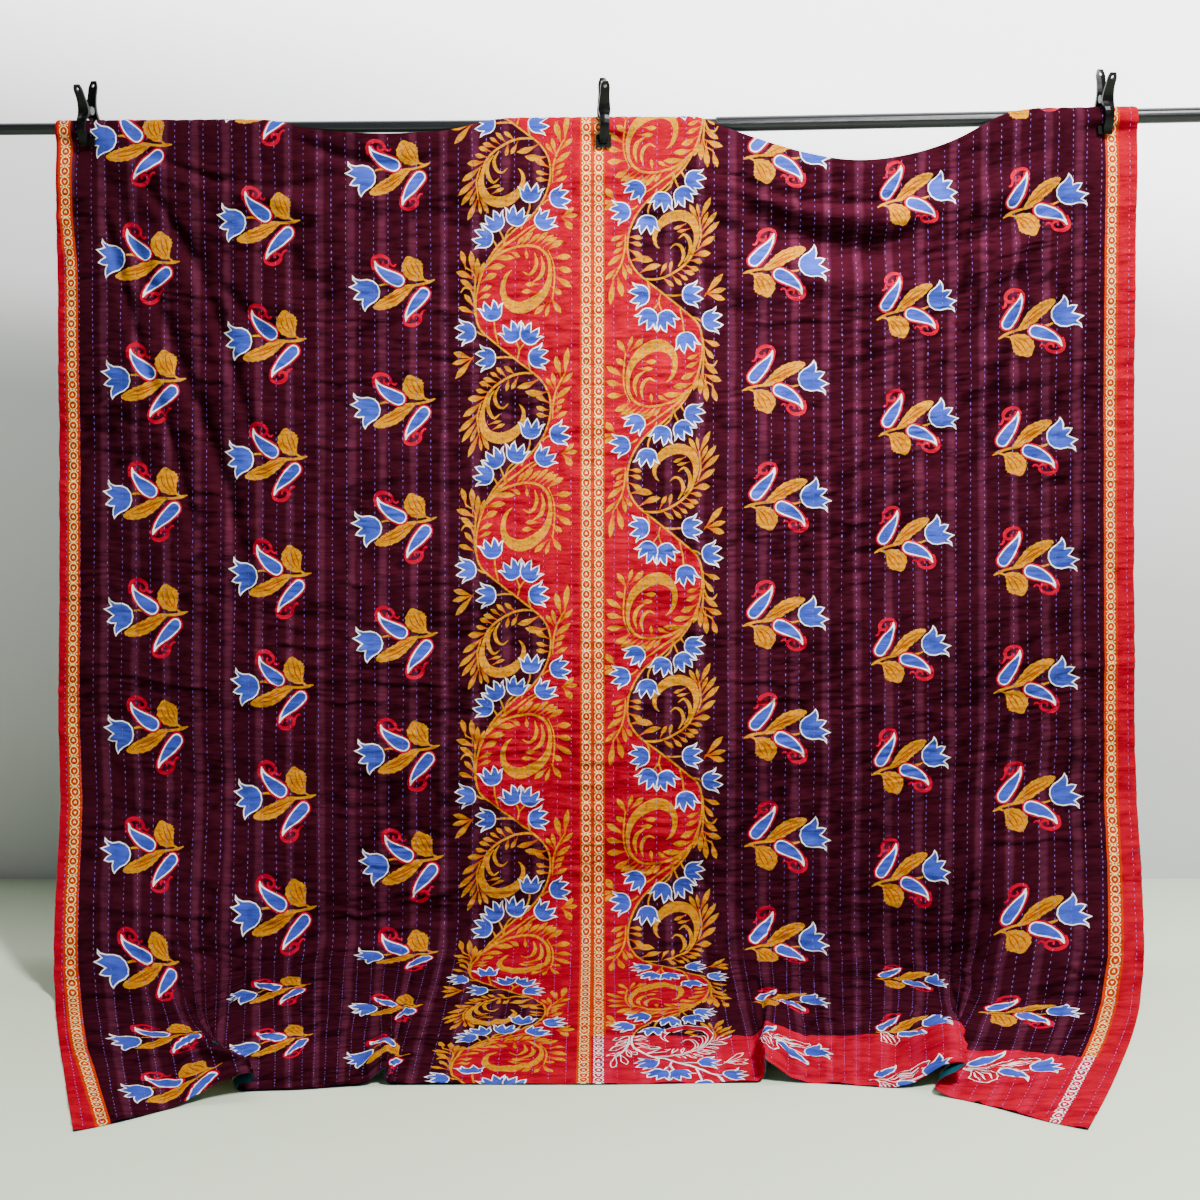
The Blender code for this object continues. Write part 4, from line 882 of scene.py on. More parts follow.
SCROLL_RIGHT_AT = (
    (-1, -0.5, 0, 0.5, 1, 1.5, 2, 2.5, 3, 3.5, 4, 4.5),
    (-0.210, 0.0225, 0.2525, 0.4975, 0.725, 0.970, 1.1925, 1.425, 1.650, 1.885, 2.115, 2.35),
)
SCROLL_LEFT_X0, SCROLL_LEFT_UNIT = -0.2824, 0.002054
SCROLL_RIGHT_X0, SCROLL_RIGHT_UNIT = 0.2642, -0.002024
CHAIN_PITCH = 0.0206
LEFT_BAND_AT = (
    (-0.2, 0.17, 0.28, 0.6, 1.5, 2.0, 2.3, 2.5),
    (-1.098, -1.094, -1.086, -1.084, -1.084, -1.082, -1.067, -1.06),
)
RIGHT_BAND_AT = ((-0.2, 0.5, 1.0, 1.7, 2.3, 2.5), (1.035, 1.037, 1.038, 1.036, 1.034, 1.034))
OUTER_BAND_WIDTH = 0.0275
BAND_STEP = 0.009
CENTRE_BAND_WIDTH = 0.0255
PALLU_AT = (
    (0.0, 0.2, 0.41, 0.61, 0.76, 0.92, 1.05, 1.1), (2.08, 2.088, 2.105, 2.078, 2.050, 2.030, 2.060, 2.065),
)
PAST_HEM, PAST_SIDE = 2.6, 1.2
STRIPE_PITCH = 0.0637
STRIPE_FIRST = 0.3460
STRIPE_LEFT_SHIFT = 0.0225


def pallu_from(u):
    return np.interp(u, *PALLU_AT)


def in_pallu(u, s):
    return u > 0 and s > pallu_from(u)


def red_end(left, right, count):
    """The ground of the red end, between two places across."""
    u = np.linspace(left, right, count)
    top = np.stack([u, pallu_from(u)], axis=1)
    return Shape(np.vstack([top, [(u[-1], PAST_HEM), (u[0], PAST_HEM)]]), "pallu", None)


def put(shape, across, down):
    """The shape laid on the cloth by two functions of its x and y."""

    def lay(points):
        p = np.atleast_2d(points)
        return np.stack([across(p[:, 0], p[:, 1]), down(p[:, 0], p[:, 1])], axis=1)

    tone = None if shape.tone is None else (lay(shape.tone[0])[0], lay(shape.tone[1])[0])
    return Shape(lay(shape.outline), shape.ink, tone)


def inked(shapes):
    """The shapes as printed: on the red end all is white or blue, and broad leaves are outlines."""
    made = []
    for shape in shapes:
        u, s = shape.outline.mean(axis=0)
        if not in_pallu(u, s):
            made.append(shape)
        elif shape.ink in ("white", "blue"):
            made.append(shape)
        elif shape.ink == "cream":
            made.append(shape._replace(ink="white"))
        elif shape.ink == "yellow":
            made.append(shape._replace(ink="white"))
            made.append(Shape(inset(shape.outline, OUTLINE_OF_LEAF * UNIT), "pallu", None))
        elif shape.ink == "orange":
            made.append(shape._replace(ink="white"))
        elif shape.ink in ("ground", "orange_band"):
            made.append(shape._replace(ink="pallu"))
    return made


def placed_sprigs(table, turned):
    """The sprigs of one panel, turned half round on the right one."""
    made = []
    design = sprig()
    flip = -UNIT if turned else UNIT
    for wide, high, places in table:
        for across, down, tilt_deg in places:
            tilt = math.radians(tilt_deg)
            c, s = math.cos(tilt), math.sin(tilt)
            (a, b), (c, d) = flip * np.array([[c * wide, -s * high], [s * wide, c * high]])
            made += [put(shape, lambda x, y: across + a * x + b * y, lambda x, y: down + c * x + d * y)
                     for shape in design]
    return inked(made)


def placed_scroll(side):
    """The scroll border beside the centre seam, left for side -1 and right for side 1."""
    places = SCROLL_LEFT_AT if side < 0 else SCROLL_RIGHT_AT
    x0, unit = (SCROLL_LEFT_X0, SCROLL_LEFT_UNIT) if side < 0 else (SCROLL_RIGHT_X0, SCROLL_RIGHT_UNIT)

    def across(x, y):
        return x0 + unit * x

    def down_of(k):
        def down(x, y):
            t = (y - DARK_BAY_Y) / DESIGN_PERIOD
            return np.interp(k - side * t, *places)

        return down

    repeats = range(-1, 7)
    wave_line = Shape(spline(WAVE, 3)[:-1], "", None)
    line = np.vstack([put(wave_line, across, down_of(k)).outline[::-side] for k in repeats])
    line = line[np.argsort(line[:, 1], kind="stable")]
    line = line[np.concatenate([[True], np.diff(line[:, 1]) > 1e-6])]
    seam = np.array([[0.0, line[-1, 1]], [0.0, line[0, 1]]])
    made = [Shape(np.vstack([line, seam]), "red", None)]
    if side > 0:
        made.append(red_end(0.0, ROW_PITCH * SCROLL_ROWS, 22))
    drawn = [put(shape, across, down_of(k)) for k in repeats for shape in scroll(SEAM_MOVED[side])]
    half = WAVE_HALF_WIDTH * UNIT
    beyond = line[:, 1] > pallu_from(line[:, 0])
    turn = int(np.argmax(beyond)) if side > 0 else len(line)
    for part, ink in ((line[:turn], "yellow"), (line[max(turn - 1, 0) :], "white")):
        if len(part) > 2:
            drawn.insert(0, Shape(sides(part, np.full(len(part), half)), ink, None))
    return made, drawn


def placed_chain(edge, width, side):
    """A band and its chain, from the edge nearer the viewer's left."""
    down = np.arange(-0.12, 2.46, BAND_STEP)
    turn = float(pallu_from(edge(np.array([2.08]))[0] + width / 2)) if side > 0 else down[-1]
    made = []
    for part in (np.append(down[down < turn], turn), np.append(turn, down[down > turn])):
        left = edge(part)
        band = np.vstack([np.stack([left, part], axis=1), np.stack([left + width, part], axis=1)[::-1]])
        if len(part) > 1:
            made.append(Shape(band, "orange_band", None))
    ink = {"ground": "orange_band"}
    links = [chain_link(0), chain_link(1)]
    unit = CHAIN_PITCH / 10.2
    for k, middle in enumerate(np.arange(-0.118, 2.44, CHAIN_PITCH)):
        for shape in links[k % 2]:
            shape = shape._replace(ink=ink.get(shape.ink, shape.ink))
            made.append(
                put(
                    shape,
                    lambda x, y: edge(middle + y * unit) + width / 2 + x * unit,
                    lambda x, y: middle + y * unit,
                )
            )
    return made


# ---------------------------------------------------------------- cutting the cloth into printed faces
def inside(points, outline):
    """Which points lie inside an outline."""
    a, b = outline, np.roll(outline, -1, axis=0)
    x, y = points[:, 0][:, None], points[:, 1][:, None]
    crosses = (a[None, :, 1] > y) != (b[None, :, 1] > y)
    rise = np.where(b[:, 1] == a[:, 1], 1e-12, b[:, 1] - a[:, 1])
    at = a[None, :, 0] + (y - a[None, :, 1]) * ((b[:, 0] - a[:, 0]) / rise)[None]
    return (np.sum(crosses & (x < at), axis=1) % 2) == 1


def thinned(outline):
    """The outline without points that nearly coincide."""
    kept = [outline[0]]
    for p in outline[1:]:
        if np.hypot(*(p - kept[-1])) > SAME_POINT:
            kept.append(p)
    if len(kept) > 3 and np.hypot(*(kept[0] - kept[-1])) <= SAME_POINT:
        kept.pop()
    return np.array(kept)


def columns_between(left, right):
    """Columns of points, with one on every row of stitches and the others set by it."""
    found = []
    for k in range(-STITCH_ROWS, STITCH_ROWS):
        for part in COLUMNS_IN_ROW:
            found.append((k + part) * ROW_PITCH)
    found.append(CLOTH_HALF_WIDTH)
    found = np.array(found)
    return found[(found >= left - 1e-9) & (found <= right + 1e-9)]


def cut(left, right, shapes):
    """Triangles of the strip of cloth from left to right, with the shapes' outlines cut into it."""
    columns = columns_between(left, right)
    rows = np.arange(-36, 740) * GRID_DOWN
    points, edges = [], []

    def add(p):
        points.append(Vector((float(p[0]), float(p[1]))))
        return len(points) - 1

    rim, inner = [], []
    for i, u in enumerate(columns):
        top, bottom = float(CLOTH.top(u)), float(CLOTH.bottom(u))
        on = rows[(rows > top + 0.4 * GRID_DOWN) & (rows < bottom - 0.4 * GRID_DOWN)]
        down = np.concatenate([[top], on, [bottom]])
        if i in (0, len(columns) - 1):
            rim.append([(u, s) for s in down])
        else:
            rim.append([(u, top), (u, bottom)])
            inner += [(u, s) for s in down[1:-1]]
    border = rim[0] + [r[-1] for r in rim[1:-1]] + rim[-1][::-1] + [r[0] for r in rim[-2:0:-1]]
    first = len(points)
    for p in border:
        add(p)
    edges += [(first + k, first + (k + 1) % len(border)) for k in range(len(border))]
    kept_shapes = []
    for shape in shapes:
        low, high = shape.outline.min(axis=0), shape.outline.max(axis=0)
        if high[0] < left or low[0] > right or high[1] < rows[0] or low[1] > rows[-1]:
            continue
        outline = thinned(shape.outline)
        if len(outline) < 3:
            continue
        kept_shapes.append(shape._replace(outline=outline))
        first = len(points)
        for p in outline:
            add(p)
        edges += [(first + k, first + (k + 1) % len(outline)) for k in range(len(outline))]
    tree = KDTree(len(points))
    for k, p in enumerate(points):
        tree.insert((p.x, p.y, 0.0), k)
    tree.balance()
    for u, s in inner:
        if tree.find((u, s, 0.0))[2] > GRID_KEEPS_OFF:
            add((u, s))
    made = delaunay_2d_cdt(points, edges, [], 0, 1e-7, False)
    flat = np.array([(p.x, p.y) for p in made[0]])
    triangles = np.array(made[2])
    middle = flat[triangles].mean(axis=1)
    margin = 1e-6
    keep = (middle[:, 0] > left) & (middle[:, 0] < right)
    keep &= middle[:, 1] > np.interp(middle[:, 0], *zip(*(r[0] for r in rim))) + margin
    keep &= middle[:, 1] < np.interp(middle[:, 0], *zip(*(r[-1] for r in rim))) - margin
    return flat, triangles[keep], kept_shapes


def painted(flat, triangles, shapes, ground):
    """The ink of each triangle, and how far along its leaf each corner lies."""
    middle = flat[triangles].mean(axis=1)
    order = np.argsort(middle[:, 1])
    sorted_s = middle[order, 1]
    inks = np.full(len(triangles), ground, dtype=object)
    tones = np.ones((len(triangles), 3))
    for shape in shapes:
        low, high = shape.outline.min(axis=0), shape.outline.max(axis=0)
        a, b = np.searchsorted(sorted_s, (low[1], high[1]))
        near = order[a:b]
        near = near[(middle[near, 0] > low[0]) & (middle[near, 0] < high[0])]
        if not len(near):
            continue
        step = max(1, 4_000_000 // len(shape.outline))
        for k in range(0, len(near), step):
            some = near[k : k + step]
            hit = some[inside(middle[some], shape.outline)]
            inks[hit] = shape.ink
            if shape.tone is None:
                tones[hit] = 1.0
            else:
                start, end = shape.tone
                way = end - start
                tones[hit] = np.clip((flat[triangles[hit]] - start) @ way / (way @ way), 0.0, 1.0)
    return inks, tones


# How much height, and how much slope, makes the cloth's painted shade run from none to all: hollows and
# slopes turned from the key light are painted darker, tops lighter.
PAINTED_SHADE_HEIGHT, PAINTED_SHADE_SLOPE = 0.0058, 0.75


def build_mesh(name, points, triangles, uv, materials, inks=None, tones=None):
    """A mesh object from arrays, with one material, or with a slot for each ink from a table of materials."""
    used, compact = np.unique(triangles, return_inverse=True)
    triangles = compact.reshape(-1, 3)
    points, uv = points[used], uv[used]
    mesh = bpy.data.meshes.new(name)
    mesh.vertices.add(len(points))
    mesh.vertices.foreach_set("co", points.astype(np.float32).ravel())
    mesh.loops.add(len(triangles) * 3)
    mesh.loops.foreach_set("vertex_index", triangles.astype(np.int32).ravel())
    mesh.polygons.add(len(triangles))
    mesh.polygons.foreach_set("loop_start", np.arange(0, len(triangles) * 3, 3, dtype=np.int32))
    mesh.polygons.foreach_set("use_smooth", np.ones(len(triangles), dtype=bool))
    if inks is not None:
        present = [ink for ink in materials if np.any(inks == ink)]
        for ink in present:
            mesh.materials.append(materials[ink])
        index = np.zeros(len(triangles), dtype=np.int32)
        for k, ink in enumerate(present):
            index[inks == ink] = k
        mesh.polygons.foreach_set("material_index", index)
    else:
        mesh.materials.append(materials)
    mesh.update(calc_edges=True)
    layer = mesh.uv_layers.new(name="cloth")
    layer.data.foreach_set("uv", uv[triangles.ravel()].astype(np.float32).ravel())
    # Painted shade: the "ridge" attribute is low in the puckers' hollows, in the creases and on slopes turned
    # from the key light, and high on the tops.
    fine, nips, _ = CLOTH.ripple(uv[:, 0], uv[:, 1])
    facing = CLOTH.between(CLOTH.facing, uv[:, 0], uv[:, 1])[:, 0]
    painted_shade = 0.5 + (fine + nips) / PAINTED_SHADE_HEIGHT + PAINTED_SHADE_SLOPE * facing
    ridge = mesh.attributes.new("ridge", "FLOAT", "POINT")
    ridge.data.foreach_set("value", np.clip(painted_shade, 0.0, 1.0).astype(np.float32))
    if tones is not None:
        tone = mesh.attributes.new("tone", "FLOAT", "CORNER")
        tone.data.foreach_set("value", tones.astype(np.float32).ravel())
    mesh.validate()
    made = bpy.data.objects.new(name, mesh)
    bpy.context.scene.collection.objects.link(made)
    return made


# ---------------------------------------------------------------- materials
def srgb(r, g, b):
    """A colour given as it looks on screen, from 0 to 255, as light."""
    c = np.array([r, g, b]) / 255.0
    linear = np.where(c <= 0.04045, c / 12.92, ((c + 0.055) / 1.055) ** 2.4)
    return tuple(float(v) for v in linear) + (1.0,)


class Nodes:
    """A short way to write a material's nodes."""

    def __init__(self, name):
        self.material = bpy.data.materials.new(name)
        self.material.use_nodes = True
        self.tree = self.material.node_tree
        self.shader = self.tree.nodes["Principled BSDF"]

    def feed(self, node, inputs):
        """Links or sets each of a node's inputs."""
        for key, value in inputs:
            if isinstance(value, bpy.types.NodeSocket):
                self.tree.links.new(value, node.inputs[key])
            else:
                node.inputs[key].default_value = value

    def node(self, kind, **inputs):
        made = self.tree.nodes.new("ShaderNode" + kind)
        self.feed(made, [(key.replace("_", " "), value) for key, value in inputs.items()])
        return made

    def math(self, operation, a, b=0.0):
        made = self.tree.nodes.new("ShaderNodeMath")
        made.operation = operation
        self.feed(made, ((0, a), (1, b)))
        return made.outputs[0]

    def attribute(self, name):
        made = self.tree.nodes.new("ShaderNodeAttribute")
        made.attribute_name = name
        return made.outputs["Fac"]

    def where(self, kind):
        return self.node("TexCoord").outputs[kind]

    def noise(self, vector, scale, detail, roughness=0.5):
        made = self.node("TexNoise", Vector=vector, Scale=scale, Detail=detail, Roughness=roughness)
        return made.outputs["Fac"]

    def set(self, **inputs):
        """Sets the shader's own inputs."""
        self.feed(self.shader, [(key.replace("_", " "), value) for key, value in inputs.items()])

    def ramp(self, value, stops):
        made = self.tree.nodes.new("ShaderNodeValToRGB")
        self.tree.links.new(value, made.inputs["Fac"])
        elements = made.color_ramp.elements
        while len(elements) < len(stops):
            elements.new(0.5)
        for element, (at, colour) in zip(elements, stops):
            element.position = at
            element.color = colour
        return made.outputs["Color"]

    def blend(self, kind, share, first, second):
        made = self.tree.nodes.new("ShaderNodeMix")
        made.data_type = "RGBA"
        made.blend_type = kind
        self.feed(made, ((0, share), (6, first), (7, second)))
        return made.outputs[2]

    def join(self, output, socket):
        self.tree.links.new(output, self.shader.inputs[socket])


def light(r, g, b):
    """A colour given as light."""
    return (r, g, b, 1.0)


def shade(colour, by):
    """A colour made lighter or darker."""
    return tuple(min(1.0, c * by) for c in colour[:3]) + (1.0,)


def grey(value):
    return (value, value, value, 1.0)


def cloth_relief(made):
    """The weave and the finest puckers, as a bump."""
    uv = made.where("UV")
    long = made.node("Mapping", Vector=uv, Scale=(24.0, 105.0, 1.0)).outputs["Vector"]
    fine = made.node("Mapping", Vector=uv, Scale=(900.0, 900.0, 1.0)).outputs["Vector"]
    pucker = made.noise(long, 1.0, 2.0)
    threads = made.noise(fine, 1.0, 1.0)
    weave = made.node("Bump", Strength=0.3, Distance=0.0004, Height=threads).outputs["Normal"]
    ripples = made.node("Bump", Strength=0.9, Distance=0.005, Height=pucker, Normal=weave)
    made.join(ripples.outputs["Normal"], "Normal")
    return uv, pucker, threads


def printed_cotton(name, colour, spread=0.16, kind="plain", second=None, painted_shade_depth=0.4):
    """Printed cotton: the ink, uneven in the weave, with stripes or with a leaf's printed shading, and with
    painted shade: darker in the hollows of its relief and on slopes turned from the key light, lighter on the
    tops.
    """
    made = Nodes(name)
    uv, pucker, threads = cloth_relief(made)
    made.set(Roughness=0.85, Specular_IOR_Level=0.0, Base_Color=colour)
    blotch = made.noise(uv, 14.0, 3.0, 0.6)
    uneven = made.math("MULTIPLY", made.math("ADD", blotch, threads), 0.5)
    # Painted shade: the ridge attribute and the pucker noise make the hollows and the slopes turned from the
    # key light darker, and the tops lighter.
    ridge = made.math("MULTIPLY", made.attribute("ridge"), 0.74)
    fade = made.math("ADD", ridge, made.math("MULTIPLY", pucker, 0.26))
    dark, pale = grey(1.0 - 0.80 * painted_shade_depth), grey(1.0 + 0.55 * painted_shade_depth)
    painted_shade = made.ramp(fade, ((0.14, dark), (0.47, grey(1.0)), (0.86, pale)))

    def dyed(first, blend):
        darker, lighter = shade(first, 1.0 - blend), shade(first, 1.0 + blend)
        return made.ramp(uneven, ((0.30, darker), (0.5, first), (0.70, lighter)))

    base = dyed(colour, spread)
    if second is not None:
        patchy = made.math("SUBTRACT", blotch, 0.5)
        if kind == "leaf":
            ragged = made.math("ADD", made.attribute("tone"), made.math("MULTIPLY", patchy, 0.9))
            flecks = made.ramp(made.noise(uv, 150.0, 2.0, 0.55), ((0.52, grey(0.0)), (0.60, grey(0.70))))
            shaded = made.ramp(ragged, ((0.25, grey(1.0)), (0.66, grey(0.0))))
            share = made.blend("LIGHTEN", 1.0, shaded, flecks)
        else:
            across = made.node("SeparateXYZ", Vector=uv).outputs["X"]
            left = made.math("MULTIPLY", made.math("LESS_THAN", across, 0.0), STRIPE_LEFT_SHIFT)
            first = made.math("ADD", left, STRIPE_FIRST)
            from_first = made.math("SUBTRACT", made.math("ABSOLUTE", across), first)
            part = made.math("FRACT", made.math("ADD", made.math("DIVIDE", from_first, STRIPE_PITCH), 0.5))
            away = made.math("ABSOLUTE", made.math("SUBTRACT", part, 0.5))
            soft_edge = made.math("ADD", away, made.math("MULTIPLY", patchy, 0.16))
            share = made.ramp(soft_edge, ((0.07, grey(1.0)), (0.17, grey(0.0))))
        base = made.blend("MIX", share, base, dyed(second, spread))
    made.join(made.blend("MULTIPLY", 1.0, base, painted_shade), "Base Color")
    return made.material


# Each ink's last number sets how strong its painted shade is.
INKS = {
    "aubergine": printed_cotton(
        "print_aubergine", light(0.0300, 0.0032, 0.0080), 0.20, "stripes", light(0.066, 0.0105, 0.0250), 0.85
    ),
    "red": printed_cotton("print_red", light(0.33, 0.0003, 0.0125), 0.12, painted_shade_depth=0.46),
    "edge_red": printed_cotton("print_edge_red", light(0.37, 0.0004, 0.0140), 0.12, painted_shade_depth=0.42),
    "pallu": printed_cotton(
        "print_end_red", light(0.37, 0.0004, 0.0170), 0.10, "stripes", light(0.43, 0.0020, 0.030), 0.42
    ),
    "orange_band": printed_cotton("print_orange", light(0.46, 0.0260, 0.0006), 0.10, painted_shade_depth=0.32),
    "cream": printed_cotton("print_cream", light(0.88, 0.68, 0.24), 0.05, painted_shade_depth=0.30),
    "white": printed_cotton("print_white", light(0.93, 0.915, 0.91), 0.05, painted_shade_depth=0.35),
    "yellow": printed_cotton(
        "print_yellow", light(0.53, 0.225, 0.0001), 0.08, "leaf", light(0.46, 0.066, 0.0001), 0.30
    ),
    "orange": printed_cotton("print_vein", light(0.30, 0.058, 0.0003), 0.10, painted_shade_depth=0.32),
    "blue": printed_cotton("print_blue", light(0.042, 0.074, 0.44), 0.26, painted_shade_depth=0.5),
    "crimson": printed_cotton("print_crimson", light(0.38, 0.0006, 0.0190), 0.10, painted_shade_depth=0.38),
}


def printed_strip(name, left, right, shapes, ground):
    flat, triangles, kept = cut(left, right, shapes)
    inks, tones = painted(flat, triangles, kept, ground)
    points = CLOTH.place(flat[:, 0], flat[:, 1], 1)
    made = build_mesh(name, points, triangles, flat, INKS, inks, tones)
    if made.data.polygons[0].normal.y > 0:
        made.data.flip_normals()
    return made


scroll_edge, field_edge = ROW_PITCH * SCROLL_ROWS, ROW_PITCH * FIELD_ROWS
pieces = {}

under, drawn = placed_scroll(-1)
chain = placed_chain(lambda s: np.full(np.shape(s), -CENTRE_BAND_WIDTH), CENTRE_BAND_WIDTH, -1)
pieces["quilt_front_left_scroll"] = printed_strip(
    "quilt_front_left_scroll", -scroll_edge, 0.0, under + inked(drawn) + chain, "aubergine"
)
under, drawn = placed_scroll(1)
chain = placed_chain(lambda s: np.zeros(np.shape(s)), CENTRE_BAND_WIDTH, 1)
pieces["quilt_front_right_scroll"] = printed_strip(
    "quilt_front_right_scroll", 0.0, scroll_edge, under + inked(drawn) + inked(chain), "aubergine"
)
pieces["quilt_front_left_field"] = printed_strip(
    "quilt_front_left_field", -field_edge, -scroll_edge, placed_sprigs(SPRIGS_LEFT, False), "aubergine"
)
right_field = [red_end(scroll_edge - 0.01, field_edge + 0.01, 60)] + placed_sprigs(SPRIGS_RIGHT, True)
pieces["quilt_front_right_field"] = printed_strip(
    "quilt_front_right_field", scroll_edge, field_edge, right_field, "aubergine"
)


def outer(side):
    """The print of an outer edge: red outside its chain band, dark inside it."""
    places = LEFT_BAND_AT if side < 0 else RIGHT_BAND_AT

    def edge(s):
        return np.interp(s, *places)

    down = np.arange(-0.13, 2.47, BAND_STEP)
    band_edge = edge(down) + (OUTER_BAND_WIDTH / 2)
    outside = side * PAST_SIDE
    strip = np.vstack([np.stack([band_edge, down], axis=1), [(outside, down[-1]), (outside, down[0])]])
    made = [Shape(strip, "edge_red", None)]
    if side > 0:
        made.append(red_end(field_edge - 0.01, PAST_SIDE, 12))
    return made + inked(placed_chain(edge, OUTER_BAND_WIDTH, side))


pieces["quilt_front_left_edge"] = printed_strip(
    "quilt_front_left_edge", -CLOTH_HALF_WIDTH, -field_edge, outer(-1), "aubergine"
)
pieces["quilt_front_right_edge"] = printed_strip(
    "quilt_front_right_edge", field_edge, CLOTH_HALF_WIDTH, outer(1), "aubergine"
)

# ---------------------------------------------------------------- the back, with the rim that joins it
BACK_INKS = {
    "teal": printed_cotton("back_teal", srgb(27, 70, 84), 0.18),
    "back_cream": printed_cotton("back_cream", srgb(214, 204, 168), 0.10),
    "back_red": printed_cotton("back_red", srgb(168, 34, 40), 0.14),
}


def quilt_back(name, side):
    """The back cloth of one panel, and the rim round its outer edge and hems."""
    across = np.linspace(0.0, CLOTH_HALF_WIDTH, STITCH_ROWS * BACK_COLUMNS_IN_ROW + 1) * side
    across = np.sort(across)
    rows = int(2.42 / BACK_GRID_DOWN)
    share = np.linspace(0.0, 1.0, rows + 1)
    top, bottom = CLOTH.top(across), CLOTH.bottom(across)
    down = top[None] + (bottom - top)[None] * share[:, None]
    u = np.repeat(across[None], rows + 1, axis=0)
    points = CLOTH.place(u.ravel(), down.ravel(), -1)
    index = np.arange(u.size).reshape(u.shape)
    a, b, c, d = index[:-1, :-1], index[1:, :-1], index[1:, 1:], index[:-1, 1:]
    halves = (np.stack([a, d, c], -1), np.stack([a, c, b], -1))
    triangles = np.concatenate([half.reshape(-1, 3) for half in halves])
    uv = np.stack([u.ravel(), down.ravel()], axis=1)
    middle = uv[triangles].mean(axis=1)
    inks = np.full(len(triangles), "teal", dtype=object)
    from_hem = CLOTH.bottom(middle[:, 0]) - middle[:, 1]
    inks[(from_hem < 0.10) & (from_hem > 0.03)] = "back_cream"
    inks[(from_hem < 0.075) & (from_hem > 0.055)] = "back_red"
    from_side = CLOTH_HALF_WIDTH - np.abs(middle[:, 0])
    inks[(from_side < 0.06) & (from_side > 0.035)] = "back_cream"
    return build_mesh(name, points, triangles, uv, BACK_INKS, inks)


pieces["quilt_back_left"] = quilt_back("quilt_back_left", -1)
pieces["quilt_back_right"] = quilt_back("quilt_back_right", 1)

# ---------------------------------------------------------------- running stitches
thread = Nodes("thread_lilac")
thread.set(Roughness=0.6, Sheen_Weight=0.05, Base_Color=light(0.12, 0.060, 0.38))
uneven = thread.noise(thread.where("UV"), 60.0, 1.0)
lilac = thread.ramp(uneven, ((0.3, light(0.08, 0.040, 0.27)), (0.7, light(0.17, 0.090, 0.52))))
thread.join(lilac, "Base Color")


# A stitch's corners, as shares of its length, half width and height, and its faces.
STITCH_CORNERS = (
    (0, 0, 0), (0.22, -1, 0.35), (0.22, 1, 0.35), (0.5, 0, 1), (0.78, -1, 0.35), (0.78, 1, 0.35), (1, 0, 0),
)
STITCH_FACES = ((0, 2, 3), (0, 3, 1), (1, 3, 4), (3, 2, 5), (4, 3, 6), (3, 5, 6))


def stitches(name, left, right):
    """Running stitches in every row between left and right: short raised dashes."""
    rng = np.random.default_rng(SEED + 1 + int(left * 1000) % 97)
    us, ss = [], []
    for k in range(-STITCH_ROWS, STITCH_ROWS):
        row = (k + 0.5) * ROW_PITCH
        if not left < row < right:
            continue
        start = float(CLOTH.top(row)) + 0.006 + rng.uniform(0, STITCH_PITCH)
        end = float(CLOTH.bottom(row)) - 0.006
        s = start
        phase = rng.uniform(0, 6.28, 3)
        while s < end - STITCH_LENGTH:
            wander = 0.0007 * math.sin(s * 9 + phase[0]) + 0.0004 * math.sin(s * 31 + phase[1])
            us.append(row + wander + rng.normal(0, 0.00015))
            ss.append(s)
            s += STITCH_PITCH * rng.uniform(0.88, 1.12)
    us, ss = np.array(us), np.array(ss)
    length = STITCH_LENGTH * rng.uniform(0.82, 1.15, len(us))
    tilt = rng.normal(0, 0.05, len(us))
    wide = STITCH_HALF_WIDTH * rng.uniform(0.85, 1.15, len(us))
    points, uv = [], []
    for part, beside, high in STITCH_CORNERS:
        s = ss + length * part
        u = us + wide * beside + tilt * length * (part - 0.5)
        base = CLOTH.place(u, s, 1)
        normal = CLOTH.between(CLOTH.normal, u, s)
        points.append(base + normal * (high * STITCH_HEIGHT - 0.0001))
        uv.append(np.stack([u, s], axis=1))
    count = len(us)
    points, uv = np.concatenate(points), np.concatenate(uv)
    first = np.arange(count)
    triangles = np.concatenate([np.stack([first + v * count for v in face], axis=1) for face in STITCH_FACES])
    return build_mesh(name, points, triangles, uv, thread.material)


pieces["quilt_stitches_left"] = stitches("quilt_stitches_left", -CLOTH_HALF_WIDTH, 0.0)
pieces["quilt_stitches_right"] = stitches("quilt_stitches_right", 0.0, CLOTH_HALF_WIDTH)

for name, piece in pieces.items():
    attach(piece, "root")
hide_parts("quilt_panel_left")
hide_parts("quilt_panel_right")


# ---------------------------------------------------------------- rod and clamps keep their CAD shapes
def black(name, colour, roughness, speck, scale, bump, specular=0.5):
    """A black finish with a fine grain in its colour, its gloss and its surface."""
    made = Nodes(name)
    made.set(Specular_IOR_Level=specular, Base_Color=colour)
    grain = made.noise(made.where("Object"), scale, 4.0, 0.6)
    made.join(made.ramp(grain, ((0.35, colour), (0.75, shade(colour, speck)))), "Base Color")
    made.join(made.ramp(grain, ((0.3, grey(roughness)), (0.8, grey(roughness + 0.12)))), "Roughness")
    made.join(made.node("Bump", Strength=bump, Distance=0.0004, Height=grain).outputs["Normal"], "Normal")
    return made.material


finishes = {
    "rod": black("rod_satin_black", light(0.0058, 0.0066, 0.0080), 0.27, 1.6, 900.0, 0.10, 0.42),
    "arm": black("clamp_moulded_black", light(0.0010, 0.0010, 0.0012), 0.24, 1.8, 1400.0, 0.10, 0.20),
    "pad": black("pad_rubber_black", light(0.0014, 0.0014, 0.0016), 0.70, 1.5, 2200.0, 0.3, 0.15),
    "spring": black("spring_blackened", light(0.05, 0.05, 0.052), 0.35, 1.5, 1200.0, 0.1),
}
for name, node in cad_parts.items():
    for key, finish in finishes.items():
        if key in name:
            node.data.materials.clear()
            node.data.materials.append(finish)

